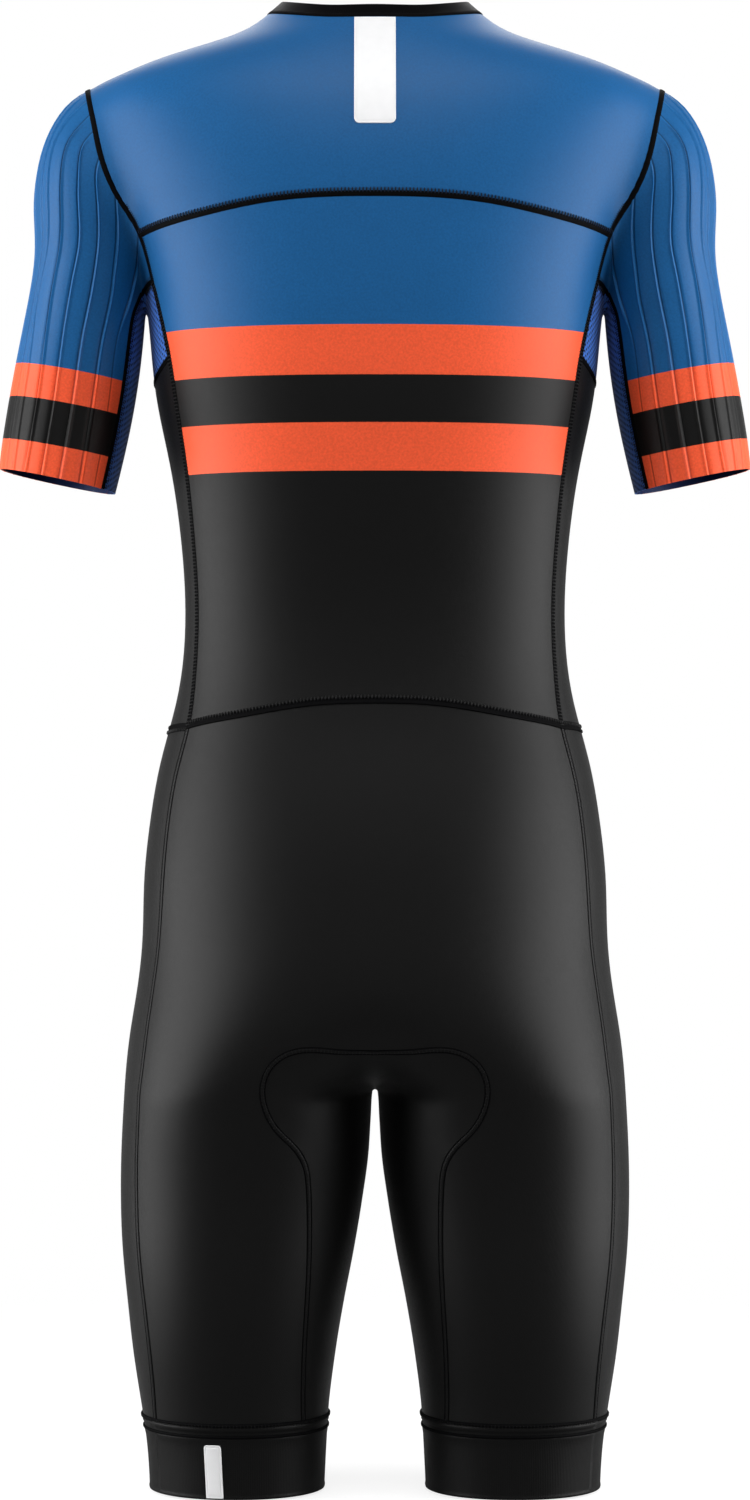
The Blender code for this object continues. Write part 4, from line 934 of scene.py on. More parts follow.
UNDERARM_GRID = underarm_grid()


def inner_leg_grid():
    """Gusset from one leg band over the crotch to the other, across three lines."""
    middle = both_sides(gusset_line(INNER_LEG_LINE, INNER_LEG_STOPS))
    back, front = both_sides(GUSSET_BACK_HALF), both_sides(GUSSET_FRONT_HALF)
    coarse = evened(saddle(back[::DETAIL], middle[::DETAIL], front[::DETAIL], SIDE_COLUMNS), SETTLING)
    return fitted(coarse, *end_arcs(back, middle, front), back, front)


INNER_LEG_GRID = inner_leg_grid()


def cuff_point(share):
    """Cuff of the sleeve's main piece, a share of the way from its back seam round to its front seam."""
    start, end = UNDER_BACK[-1], UNDER_FRONT[-1]
    outer_x, outer_z = CUFF_OUTER
    inner_x, inner_z = CUFF_INNER
    centre = (outer_x + inner_x) / 2 * MM
    half_x, half_y = (outer_x - inner_x) / 2 * MM, sleeve_section(np.array(outer_z * MM))[2]
    first = math.atan2(start[1] / half_y, (centre - start[0]) / half_x)
    angle = first + (2 * math.pi - 2 * first) * np.linspace(0, 1, 721)
    ring = np.stack([centre - half_x * np.cos(angle), half_y * np.sin(angle), np.zeros_like(angle)], -1)
    run = run_along(ring)
    ring = read_along(np.asarray(share) * run[-1], run, ring)
    ring[:, 2] = outer_z * MM + (ring[:, 0] - outer_x * MM) * (outer_z - inner_z) / (outer_x - inner_x)
    ring = on_skin(ring)
    ring[0], ring[-1] = start, end
    return ring


# ---------------------------------------------------------------- finishes


def linear(code):
    """An sRGB hex colour as linear red, green, blue and 1."""
    channels = np.array([int(code[i:i + 2], 16) for i in (1, 3, 5)]) / 255
    channels = np.where(channels <= 0.04045, channels / 12.92, ((channels + 0.055) / 1.055) ** 2.4)
    return (*channels.tolist(), 1.0)


def add(tree, kind, inputs=None, to=None, **settings):
    """Add a shader node: inputs holds a value, or a node or socket to link, for each of its sockets.

    Its first output is linked to the socket given as to.
    """
    node = tree.nodes.new("ShaderNode" + kind)
    for key, value in settings.items():
        setattr(node, key, value)
    for place, value in (inputs or {}).items():
        if isinstance(value, bpy.types.Node):
            value = value.outputs[0]
        if isinstance(value, bpy.types.NodeSocket):
            tree.links.new(value, node.inputs[place])
        else:
            node.inputs[place].default_value = value
    if to is not None:
        tree.links.new(node.outputs[0], to)
    return node


def bands_scale(pitch):
    """Scale at which a Wave texture repeats each pitch metres."""
    return math.pi / (10 * pitch)


class Finish:
    """A material with its shader, and the coordinates that its patterns follow."""

    def __init__(self, name, **constants):
        self.material = bpy.data.materials.new(name)
        self.material.use_nodes = True
        self.tree = self.material.node_tree
        self.shader = self.tree.nodes["Principled BSDF"]
        for socket, value in constants.items():
            self.shader.inputs[socket.replace("_", " ")].default_value = value
        self.object = self.add("TexCoord").outputs["Object"]
        self.flat = self.add("UVMap", uv_map="flat").outputs[0]

    def add(self, kind, inputs=None, to=None, **settings):
        """Add a node to this material, linked to the shader's socket of the name given as to."""
        return add(self.tree, kind, inputs, self.shader.inputs[to] if to else None, **settings)

    def shaded(self, base, amount, low, high, to=None):
        """A colour multiplied by low to high as amount goes from 0 to 1."""
        spread = self.add("MapRange", {0: amount, 3: low, 4: high})
        base = base[:3] if isinstance(base, tuple) else base
        return self.add("VectorMath", {0: base, 3: spread}, to, operation="SCALE")

    def speckled(self, size, detail=3.0):
        """Inputs of a noise with features of about a size in metres."""
        return {"Vector": self.object, "Scale": 1 / size, "Detail": detail}

    def knit(self):
        """Height of a warp knit: wales side by side, each crossed by slanted courses."""
        wales = self.add("TexWave", {"Vector": self.flat, "Scale": bands_scale(WALE)}, bands_direction="X")
        lean = self.add("Mapping", {"Vector": self.flat, "Rotation": (0, 0, COURSE_LEAN)})
        courses = self.add("TexWave", {"Vector": lean, "Scale": bands_scale(COURSE)}, bands_direction="Y")
        return self.add("Math", {0: courses.outputs[1], 1: 0.45, 2: wales.outputs[1]}, operation="MULTIPLY_ADD")


# Warp-knit tricot of polyester and elastane, 0.35 mm between its wales. Filament yarn gives it a satin face with
# a soft grey rim where it turns away, and the wales a fine upright grain. They are drawn at 0.7 mm to show at all.
WALE, COURSE = 0.7 * MM, 0.6 * MM
COURSE_LEAN = math.radians(32)
# Distance between the sleeve's ribs, and the share of the ribs' painted light and shade that leaves the colour as it
# is
RIB_STEP = 15.0 * MM
PLAIN = 0.833
# Painted highlight on each rib's crest and painted shade in its groove: place across the stretch between two ribs, and
# share
RIB_PAINTED_LIGHT_AND_SHADE = ((0.0, 1.0), (0.05, 1.0), (0.085, PLAIN), (0.82, PLAIN), (0.865, 0.1), (0.9, 0.1), (0.935, PLAIN),
             (0.955, 1.0))


def dyed_tricot(name, colours, banded=None, ribbed=False):
    """Tricot in one colour, or printed in bands from the lowest up where banded gives their height and edges.

    Its yarn is dyed a little unevenly and pills into specks of 1.5 mm, so the satin face breaks up into fine grain.
    """
    finish = Finish(name, Roughness=0.46, Specular_IOR_Level=0.18, Sheen_Weight=0.09, Sheen_Roughness=0.3)
    base = printed(finish, *banded(finish), colours) if banded else colours[0]
    if ribbed:
        # Sleeves: painted highlight on the ribs' crests and painted shade in their grooves
        base = finish.shaded(base, painted_rib_light_and_shade(finish), 0.4, 1.12)
    knit = finish.knit()
    speckle = finish.add("TexNoise", finish.speckled(1.5 * MM, 2.0))
    base = finish.shaded(base, knit, 0.965, 1.02)
    base = finish.shaded(base, speckle, 0.78, 1.22)
    finish.shaded(base, finish.add("TexNoise", finish.speckled(28 * MM, 4.0)), 0.95, 1.05, "Base Color")
    finish.add("MapRange", {0: speckle, 3: 0.34, 4: 0.58}, "Roughness")
    uneven = finish.add("Math", {0: speckle, 1: 1.5, 2: knit}, operation="MULTIPLY_ADD")
    finish.add("Bump", {"Strength": 1.0, "Distance": 0.02 * MM, "Height": uneven}, "Normal")
    return finish.material


def printed(finish, height, edges, colours):
    """Colours in bands from the lowest up, their edges bled 0.12 mm into the yarn either way."""
    low, high = edges[0] - 20 * MM, edges[-1] + 20 * MM
    bled = finish.add("MapRange", {0: finish.add("TexNoise", finish.speckled(2.5 * MM)), 3: -0.12 * MM, 4: 0.12 * MM})
    height = finish.add("Math", {0: height, 1: bled}, operation="ADD")
    ramp = finish.add("ValToRGB", {0: finish.add("MapRange", {0: height, 1: low, 2: high})})
    stops = ramp.color_ramp.elements
    ramp.color_ramp.interpolation = "CONSTANT"
    stops[0].color, stops[1].color = colours[0], colours[-1]
    for edge, colour in zip(edges, colours[1:]):
        stops.new((edge - low) / (high - low)).color = colour
    return ramp


def painted_rib_light_and_shade(finish):
    """Painted light along the sleeve's ribs: a painted highlight on each crest and painted shade in each groove."""
    across = finish.add("SeparateXYZ", {0: finish.flat})
    away = finish.add("Math", {0: across}, operation="ABSOLUTE")
    share = finish.add("Math", {0: away, 1: 1 / RIB_STEP}, operation="MULTIPLY")
    ramp = finish.add("ValToRGB", {0: finish.add("Math", {0: share}, operation="FRACT")})
    stops = ramp.color_ramp.elements
    for place, painted_share in RIB_PAINTED_LIGHT_AND_SHADE:
        stop = stops[0] if place == 0 else stops.new(place)
        stop.color = (painted_share, painted_share, painted_share, 1.0)
    return ramp


def torso_height(finish):
    """Print bands that lie level round the body."""
    return finish.add("SeparateXYZ", {0: finish.object}).outputs[2], [edge * MM for edge in TORSO_BANDS]


def sleeve_height(finish):
    """Print bands that lie along the cuff, which rises outwards."""
    place = finish.add("SeparateXYZ", {0: finish.object})
    out = finish.add("Math", {0: place}, operation="ABSOLUTE")
    height = finish.add("Math", {0: out, 1: -CUFF_RISE, 2: place.outputs[2]}, operation="MULTIPLY_ADD")
    return height, [edge * MM for edge in SLEEVE_BANDS]


def net_mesh(name, colour, painted_hole_shade):
    """Open warp-knit mesh: a lattice of holes between round ridges, the holes painted dark as the shade seen through
    them.

    The holes are drawn 3 mm apart, twice as coarse as real ones, so that they show.
    """
    finish = Finish(name, Roughness=0.6, Specular_IOR_Level=0.25, Sheen_Weight=0.08, Sheen_Roughness=0.4)
    lean = finish.add("Mapping", {"Vector": finish.flat, "Rotation": (0, 0, math.radians(45))})
    cells = finish.add("TexVoronoi", {"Vector": lean, "Scale": 1 / (3 * MM), "Randomness": 0.0},
                       voronoi_dimensions="2D")
    web = finish.add("MapRange", {0: cells.outputs["Distance"], 1: 0.2, 2: 0.36}, interpolation_type="SMOOTHSTEP")
    # Holes in painted shade, the yarn between them in the mesh's blue
    base = finish.add("Mix", {0: web, 6: painted_hole_shade, 7: colour}, data_type="RGBA").outputs[2]
    finish.shaded(base, finish.add("TexNoise", finish.speckled(20 * MM)), 0.92, 1.08, "Base Color")
    finish.add("MapRange", {0: web, 3: 0.8, 4: 0.5}, "Roughness")
    finish.add("Bump", {"Strength": 1.0, "Distance": 0.3 * MM, "Height": web}, "Normal")
    return finish.material


def elastic_rib(name, colour, rib, depth, shine=0.16):
    """Woven elastic: upright ribs of covered rubber, satin, with a painted highlight on their crests and painted shade
    between them.
    """
    finish = Finish(name, Roughness=0.45, Specular_IOR_Level=shine, Sheen_Weight=0.03, Sheen_Roughness=0.3)
    ribs = finish.add("TexWave", {"Vector": finish.flat, "Scale": bands_scale(rib)}, bands_direction="X").outputs[1]
    # Colour lighter on the rib crests as painted highlight, darker between them as painted shade
    finish.shaded(colour, ribs, 0.7, 1.25, "Base Color")
    finish.add("MapRange", {0: finish.add("TexNoise", finish.speckled(6 * MM)), 3: 0.38, 4: 0.55}, "Roughness")
    finish.add("Bump", {"Strength": 1.0, "Distance": depth, "Height": ribs}, "Normal")
    return finish.material


def sewing_thread(name, colour):
    """Textured polyester thread, two plies twisted every 1.2 mm, with a dull silk shine."""
    finish = Finish(name, Roughness=0.6, Specular_IOR_Level=0.15, Sheen_Weight=0.03)
    twist = finish.add("TexWave", {"Vector": finish.flat, "Scale": bands_scale(0.6 * MM)},
                       bands_direction="DIAGONAL").outputs[1]
    finish.shaded(colour, twist, 0.75, 1.15, "Base Color")
    finish.add("MapRange", {0: twist, 3: 0.4, 4: 0.6}, "Roughness")
    finish.add("Bump", {"Strength": 1.0, "Distance": 0.08 * MM, "Height": twist}, "Normal")
    return finish.material


def black_binding(name, colour):
    """Narrow black covering tape over the seams: dull, close-ribbed across, a little dusty along its middle."""
    finish = Finish(name, Roughness=0.75, Specular_IOR_Level=0.05)
    ribs = finish.add("TexWave", {"Vector": finish.flat, "Scale": bands_scale(0.8 * MM)},
                      bands_direction="Y").outputs[1]
    base = finish.shaded(colour, ribs, 0.8, 1.1)
    finish.shaded(base, finish.add("TexNoise", finish.speckled(6 * MM)), 0.8, 1.2, "Base Color")
    finish.add("MapRange", {0: finish.add("TexNoise", finish.speckled(4 * MM)), 3: 0.65, 4: 0.85}, "Roughness")
    finish.add("Bump", {"Strength": 1.0, "Distance": 0.03 * MM, "Height": ribs}, "Normal")
    return finish.material


def transfer_film(name, colour):
    """Heat-pressed polyurethane film: smooth and faintly glossy, with the knit beneath showing in low relief."""
    finish = Finish(name, Roughness=0.4, Coat_Weight=0.12, Coat_Roughness=0.35)
    finish.shaded(colour, finish.add("TexNoise", finish.speckled(7 * MM, 5.0)), 0.95, 1.02, "Base Color")
    finish.add("MapRange", {0: finish.add("TexNoise", finish.speckled(4 * MM)), 3: 0.34, 4: 0.5}, "Roughness")
    finish.add("Bump", {"Strength": 1.0, "Distance": 0.05 * MM, "Height": finish.knit()}, "Normal")
    return finish.material


def moulded_nylon(name, colour):
    """Nylon monofilament of a zip's coil: hard, smooth and quite glossy."""
    finish = Finish(name, Roughness=0.3)
    finish.shaded(colour, finish.add("TexNoise", finish.speckled(2 * MM)), 0.8, 1.2, "Base Color")
    finish.add("MapRange", {0: finish.add("TexNoise", finish.speckled(1.5 * MM)), 3: 0.24, 4: 0.4}, "Roughness")
    grit = finish.add("TexNoise", finish.speckled(0.8 * MM))
    finish.add("Bump", {"Strength": 1.0, "Distance": 0.02 * MM, "Height": grit}, "Normal")
    return finish.material


def enamelled_zinc(name, colour, bare):
    """Die-cast zinc with black enamel, rubbed to bright metal on its edges."""
    finish = Finish(name, Roughness=0.32, Coat_Weight=0.4, Coat_Roughness=0.2)
    edge = finish.add("NewGeometry").outputs["Pointiness"]
    grit = finish.add("TexNoise", finish.speckled(1.2 * MM, 5.0))
    worn = finish.add("MapRange", {0: edge, 1: 0.56, 2: 0.68})
    worn = finish.add("Math", {0: worn, 1: grit}, "Metallic", operation="MULTIPLY")
    base = finish.add("Mix", {0: worn, 6: colour, 7: bare}, data_type="RGBA").outputs[2]
    finish.tree.links.new(base, finish.shader.inputs["Base Color"])
    finish.add("MapRange", {0: grit, 3: 0.26, 4: 0.42}, "Roughness")
    finish.add("Bump", {"Strength": 1.0, "Distance": 0.03 * MM, "Height": grit}, "Normal")
    return finish.material


def matt_paint(name, colour):
    """Matt pale paint of a studio floor with a faint stipple.

    Its glow is there for the camera alone, so the floor shows white and still throws little light up at the suit.
    """
    finish = Finish(name, Roughness=0.85, Specular_IOR_Level=0.1, Emission_Color=(1, 1, 1, 1))
    seen = finish.add("LightPath").outputs["Is Camera Ray"]
    finish.add("Math", {0: seen, 1: 0.8}, "Emission Strength", operation="MULTIPLY")
    finish.shaded(colour, finish.add("TexNoise", finish.speckled(400 * MM)), 0.985, 1.0, "Base Color")
    stipple = finish.add("TexNoise", finish.speckled(2 * MM))
    finish.add("Bump", {"Strength": 1.0, "Distance": 0.1 * MM, "Height": stipple}, "Normal")
    return finish.material


def finishes(settings):
    """Every material, made once and found again by name."""
    blue, orange, black, inside, mesh, label, floor = (
        (*value, 1.0) for value in (settings.blue, settings.orange, settings.black, settings.inside, settings.mesh,
                                    settings.label, settings.floor))
    makers = {
        "tricot_print": (dyed_tricot, [black, orange, black, orange, blue], torso_height),
        # The sleeve print carries painted highlight and painted shade along its ribs
        "sleeve_print": (dyed_tricot, [orange, black, orange, blue], sleeve_height, True),
        "tricot_black": (dyed_tricot, [black]),
        "tricot_inside": (dyed_tricot, [inside]),
        # Dark navy of the mesh's holes: painted shade seen through them
        "net_mesh": (net_mesh, mesh, linear("#0a1230")),
        "gripper_elastic": (elastic_rib, linear("#050505"), 1.3 * MM, 0.05 * MM),
        "neck_elastic": (elastic_rib, linear("#020203"), 1.6 * MM, 0.06 * MM, 0.03),
        "zip_tape_weave": (elastic_rib, linear("#070708"), 0.9 * MM, 0.06 * MM),
        "black_thread": (sewing_thread, linear("#050506")),
        "navy_thread": (sewing_thread, linear("#071427")),
        "seam_binding": (black_binding, linear("#040405")),
        "film_white": (transfer_film, label),
        "nylon_coil": (moulded_nylon, linear("#18181a")),
        "enamelled_zinc": (enamelled_zinc, linear("#202022"), linear("#a8a8aa")),
        "studio_white": (matt_paint, floor),
    }

    def find(name):
        maker, *values = makers[name]
        return bpy.data.materials.get(name) or maker(name, *values)

    return find


# ---------------------------------------------------------------- settings


def metres(name, description, default):
    """A length that a user may change."""
    return FloatProperty(name=name, description=description, default=default, min=0.0, unit="LENGTH",
                         subtype="DISTANCE", precision=5)


def watts(name, description, default):
    """The power of a light."""
    return FloatProperty(name=name, description=description, default=default, min=0.0, unit="POWER")


def tint(name, description, code):
    """A colour that a user may change."""
    return FloatVectorProperty(name=name, description=description, default=linear(code)[:3], size=3, min=0.0,
                               max=1.0, subtype="COLOR")


class SuitSettings(PropertyGroup):
    """Sizes and colours of the suit."""

    cloth: metres("Cloth", "Thickness of the body cloth", 1.2 * MM)
    band_cloth: metres("Neck band", "Thickness of the neck band", 1.8 * MM)
    rib_height: metres("Rib height", "Height of the ribs on the sleeves", 1.0 * MM)
    rib_width: metres("Rib width", "Width of a rib at half its height", 1.7 * MM)
    seam_width: metres("Seam width", "Width of the single seams", 4.0 * MM)
    # Combs of thread are drawn coarser than the real 1.3 mm, so that they can be told apart
    stitch: metres("Stitch", "Length of seam for each thread of its comb", 2.4 * MM)
    thread: metres("Thread", "Thickness of the sewing thread as drawn", 0.45 * MM)
    coil_pitch: metres("Coil pitch", "Length of zip for each turn of its coil", 1.5 * MM)
    blue: tint("Blue", "Printed blue of the upper body", "#13568d")
    orange: tint("Orange", "Printed orange of the bands", "#f05a35")
    black: tint("Black", "Black of the shorts, side panels and bands", "#070707")
    mesh: tint("Mesh", "Blue of the underarm mesh", "#3f70c6")
    inside: tint("Inside", "Inner face of the cloth", "#13224a")
    label: tint("Label", "White of the neck label and the hem tab", "#f4f4f5")
    floor: tint("Floor", "Paint of the studio floor", "#8c8c8c")


class StudioSettings(PropertyGroup):
    """Light and floor of the studio."""

    tent: FloatProperty(name="Tent", description="Brightness of the even light from all round", default=0.2,
                        min=0.0)
    sides: watts("Sides", "Power of the tall softbox on each side", 42.0)
    key: watts("Key", "Power of the softbox above the camera", 31.0)
    front: watts("Front", "Power of the broad light behind the camera", 6.0)
    fill: watts("Fill", "Power of the softbox above the front", 18.0)
    floor_reach: metres("Floor reach", "Radius at which the pale floor has faded into the white backdrop", 1.1)
    floor_drop: metres("Floor drop", "Distance of the floor below the hems", 1.5 * MM)


# ---------------------------------------------------------------- pieces of cloth

# Cut of each piece before it is stretched over the form, in metres: width, length and area, then what is sewn to it.
# A piece whose name has a gap for the side is there twice.
CUTS = (
    ("yoke_cloth", 0.40, 0.27, 0.0735, "seams_upper", "yoke_stitches"),
    ("back_body_cloth", 0.34, 0.345, 0.0896, "body_stitches"),
    ("front_body_{}_cloth", 0.19, 0.42, 0.0631),
    ("side_panel_{}_cloth", 0.095, 0.26, 0.0204),
    ("underarm_mesh_{}_cloth", 0.09, 0.175, 0.0131),
    ("sleeve_{}_cloth", 0.25, 0.25, 0.0493),
    ("shorts_back_cloth", 0.38, 0.475, 0.1216, "seams_lower", "seams_shorts", "seams_edges", "shorts_stitches"),
    ("shorts_front_cloth", 0.36, 0.46, 0.1147),
    ("shorts_side_{}_cloth", 0.115, 0.465, 0.048),
    ("inner_leg_gusset_cloth", 0.20, 0.60, 0.078),
    ("leg_band_{}_cloth", 0.36, 0.05, 0.018),
    ("neck_band_cloth", 0.52, 0.0112, 0.00582),
    ("neck_label_film", 0.028, 0.0905, 0.00252),
    ("hem_tab_film", 0.0116, 0.0362, 0.00042),
    ("zip_tape_cloth", 0.014, 0.455, 0.00637, "zip_coils"),
)


def state_cuts():
    """Go through the flat cut of every piece of cloth, all of them worn stretched; nothing is stated."""
    for name, width, length, area, *sewn in CUTS:
        for piece in dict.fromkeys(name.format(side) for side, _ in SIDES):
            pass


def dress(piece, node):
    """Let a piece stand for its solid: hang it on the garment and hide the solid."""
    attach(piece, GARMENT)
    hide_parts(node)


def dress_seam(piece):
    """Seams ride on the garment."""
    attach(piece, GARMENT)


def lined(find, name):
    """Finishes of a panel's outer and inner face."""
    return [find(name), find("tricot_inside")]


def panel(node, slot, grid, flat, materials, thickness, lift=0.0, **edges):
    """Panel from a grid on the skin: sewn edges stood back, then the cloth's thickness inwards."""
    normals = outward(grid)
    face = seamed(grid, normals, **edges)
    piece = wall(node + "_cloth", face + normals * lift, face + normals * (lift - thickness), flat, materials)
    dress(piece, node)


def both_walls(node, outer, inner, flat, materials, closed=False):
    """A cloth wall and its mirror image on the right."""
    for side, turn in SIDES:
        piece = wall(f"{node}_{side}_cloth", outer * turn, inner * turn, flat, materials, closed)
        dress(piece, f"{node}_{side}")


def both_panels(node, slot, grid, flat, materials, thickness, **edges):
    """A panel and its mirror image on the right."""
    normals = outward(grid)
    face = seamed(grid, normals, **edges)
    both_walls(node, face, face - normals * thickness, flat, materials)


class SuitOperator:
    """Builds some pieces with the scene's settings and finishes."""

    bl_options = {"REGISTER", "UNDO"}

    def execute(self, context):
        self.build(context.scene.suit, finishes(context.scene.suit))
        return {"FINISHED"}


class SUIT_OT_yoke(SuitOperator, Operator):
    """Upper back and shoulders in one piece, a strip from the neckline out to its seams"""

    bl_idname = "suit.yoke"
    bl_label = "Yoke"

    def build(self, settings, find):
        outer_half = joined(ARMHOLE_LINE[FRONT_CORNER * DETAIL:DETAIL - 1:-1], YOKE_SEAM)
        grid = spread(both_sides(NECK_BACK_HALF), both_sides(outer_half), YOKE_FRONT_SEAM,
                      YOKE_FRONT_SEAM * TO_RIGHT)
        panel("yoke", "blue_tricot", grid, flat_over(grid), lined(find, "tricot_print"), settings.cloth)


class SUIT_OT_back_body(SuitOperator, Operator):
    """Back from the yoke seam to the waist seam"""

    bl_idname = "suit.back_body"
    bl_label = "Back"

    def build(self, settings, find):
        left = joined(ARMHOLE_LINE[DETAIL::-1], BACK_MESH, BACK_WAIST)
        grid = spread(both_sides(YOKE_SEAM), both_sides(WAIST_BACK_HALF), left, left * TO_RIGHT)
        panel("back_body", "blue_tricot", grid, flat_round(grid), lined(find, "tricot_print"), settings.cloth)


class SUIT_OT_front_body(SuitOperator, Operator):
    """Front on either side of the zip"""

    bl_idname = "suit.front_body"
    bl_label = "Fronts"

    def build(self, settings, find):
        right = joined(ARMHOLE_LINE[FRONT_CORNER * DETAIL:], FRONT_MESH, FRONT_WAIST)
        grid = spread(joined(NECK_FRONT_HALF, YOKE_FRONT_SEAM), WAIST_FRONT_HALF[::-1], zip_edge(), right)
        both_panels("front_body", "blue_tricot", grid, flat_round(grid), lined(find, "tricot_print"),
                    settings.cloth)


class SUIT_OT_side_panels(SuitOperator, Operator):
    """Black side panels between the side seams, from the mesh to the waist seam"""

    bl_idname = "suit.side_panels"
    bl_label = "Side panels"

    def build(self, settings, find):
        grid = spread(UNDERARM_GRID[-1], WAIST_ACROSS_SIDE, BACK_WAIST, FRONT_WAIST)
        both_panels("side_panel", "black_tricot", grid, flat_round(grid), lined(find, "tricot_black"),
                    settings.cloth)


class SUIT_OT_underarm_mesh(SuitOperator, Operator):
    """Mesh under the arms, its cuff end free"""

    bl_idname = "suit.underarm_mesh"
    bl_label = "Underarm mesh"

    def build(self, settings, find):
        crease = SLEEVE_ROWS * DETAIL
        drop = np.abs(UNDERARM_GRID[..., 2] - UNDERARM_GRID[crease, :, 2])
        drop[:crease] *= -1
        flat = np.stack([UNDERARM_GRID[..., 1], drop], -1)
        both_panels("underarm_mesh", "blue_mesh", UNDERARM_GRID, flat, lined(find, "net_mesh"), settings.cloth,
                    top=False)


def rib_guides(start, cosines):
    """Points of a rib on the sleeve's back: its place on the armhole, then c(z) + r(z) a(z) cos at each height.

    c and a are the middle and half width of the sleeve's section, r the share of it left in the shoulder's dome.
    """
    heights, cosines = np.array([(z, cosine) for z, cosine in zip(RIB_HEIGHTS, cosines) if cosine is not None]).T
    heights = heights * MM
    outer, inner = np.moveaxis(sleeve_section(np.minimum(heights, SHOULDER_Z)), -1, 0)[:2]
    dome = np.sqrt(1 - (np.maximum(heights - SHOULDER_Z, 0) / SHOULDER_RISE) ** 2)
    x = (outer + inner) / 2 + dome * (outer - inner) / 2 * cosines
    return np.concatenate([armhole.at([start]), on_back(x, heights)])


def rib_relief(near, outer, settings):
    """Height of a pin-tucked rib: a round ridge at its line, and a narrow groove on the side given by outer."""
    ridge = np.exp(-(near / (0.6 * settings.rib_width)) ** 2)
    groove = np.exp(-((near * outer - 1.15 * settings.rib_width) / (0.45 * settings.rib_width)) ** 2)
    return settings.rib_height * (ridge - 0.7 * groove)


# Places of the points across each stretch between two ribs, closer beside a rib
RIB_POINTS = np.array([0, 0.04, 0.075, 0.11, 0.15, 0.2, 0.3, 0.43, 0.57, 0.7, 0.8, 0.85, 0.89, 0.925, 0.96])
# Rows below the armhole over which a rib rises, and the height over which those beside the under-sleeve seams do
RIB_RISE_ROWS = 3
RIB_FADE = 30 * MM


def sleeve_grid():
    """Fine grid of a sleeve's main piece, and its columns' places counted in ribs."""
    ends = cuff_point([0] + [row[1] for row in RIB_LINES] + [1])[1:-1]
    lines = []
    for (start, _, *cosines), end in zip(RIB_LINES, ends):
        guides = np.concatenate([rib_guides(start, cosines), [end]])
        lines.append(Seam(guides / MM).between(0, -1, SLEEVE_ROWS))
    half = [UNDER_BACK] + lines[::-1]
    coarse = np.stack(half + [line * TO_FRONT for line in half[-2:0:-1]] + [UNDER_FRONT], 1)
    columns = np.arange(coarse.shape[1])
    across = np.append((columns[:-1, None] + RIB_POINTS).ravel(), columns[-1])

    def read(which):
        """Shares of the way round at the columns, from those of the ribs, the same from both ends."""
        shares = np.array([0] + [row[which] for row in RIB_LINES[::-1]])
        return np.interp(across, columns, np.append(shares, 1 - shares[-2::-1]))

    return fitted(coarse, armhole.at(read(0)), cuff_point(read(1)), UNDER_BACK, UNDER_FRONT, across), across


class SUIT_OT_sleeves(SuitOperator, Operator):
    """Sleeves with lengthwise ribs: height = ridge(s - rib) - groove(s - rib), s the way round"""

    bl_idname = "suit.sleeves"
    bl_label = "Sleeves"

    def build(self, settings, find):
        grid, across = sleeve_grid()
        middle = len(RIB_LINES)
        normals = outward(grid)
        face = seamed(grid, normals, bottom=False)
        run = np.linalg.norm(np.diff(grid, axis=1), axis=-1).cumsum(1)
        run = np.concatenate([np.zeros((len(grid), 1)), run], 1)
        nearest = np.clip(np.rint(across).astype(int), 1, 2 * middle - 1)
        near = run - run[:, nearest * len(RIB_POINTS)]
        outer = np.where(nearest > middle, -1, 1)
        fade = np.clip(np.arange(len(grid)) / RIB_RISE_ROWS, 0, 1)[:, None] * np.ones(len(across))
        beside_seam = np.minimum(nearest, 2 * middle - nearest) == 1
        fade[:, beside_seam] *= np.clip((grid[:, beside_seam, 2] + RIB_ENDS) / RIB_FADE, 0, 1)
        raised = normals * (rib_relief(near, outer, settings) * fade)[..., None]
        down = np.linalg.norm(np.diff(grid, axis=0), axis=-1).cumsum(0)
        down = np.concatenate([np.zeros((1, len(across))), down])
        flat = np.stack(np.broadcast_arrays((across - middle) * RIB_STEP, -down), -1)
        both_walls("sleeve", face + raised, face - normals * settings.cloth, flat,
                   lined(find, "sleeve_print"))


def shorts_strip(gusset_half, side_leg, waist_half, band_arc):
    """Grid of a shorts panel: a strip from the gusset seam out to the side seams and the waist."""
    seat_start = (LEG_ROWS + THIGH_ROWS) * DETAIL
    seat_count = HIP_ROWS + (len(waist_half) - 1) // DETAIL
    inner_half = joined(gusset_half[:seat_start + 1], recut(gusset_half[seat_start:], seat_count))
    outer_half = joined(side_leg[::-1], waist_half)
    return spread(both_sides(inner_half), both_sides(outer_half), band_arc, band_arc * TO_RIGHT,
                  sideways=STRIP_SPREAD)


class SUIT_OT_shorts(SuitOperator, Operator):
    """Back and front of the shorts, each in one piece with both legs, and the sides"""

    bl_idname = "suit.shorts"
    bl_label = "Shorts"

    def build(self, settings, find):
        materials = lined(find, "tricot_black")
        back = shorts_strip(GUSSET_BACK_HALF, BACK_LEG, WAIST_BACK_HALF, BAND_BACK_ARC)
        panel("shorts_back", "black_tricot", back, flat_round(back), materials, settings.cloth)
        under_zip = zip_line()[-1] - WAIST_FRONT_HALF[-1]
        last = WAIST_FRONT_HALF[-1] + under_zip * np.linspace(0, 1, DETAIL + 1)[:, None]
        front = shorts_strip(GUSSET_FRONT_HALF, FRONT_LEG, joined(WAIST_FRONT_HALF, last), BAND_FRONT_ARC)
        panel("shorts_front", "black_tricot", front, flat_round(front), materials, settings.cloth)
        sides = spread(WAIST_ACROSS_SIDE, BAND_SIDE_ARC, BACK_LEG, FRONT_LEG)
        both_panels("shorts_side", "black_tricot", sides, flat_round(sides), materials, settings.cloth)


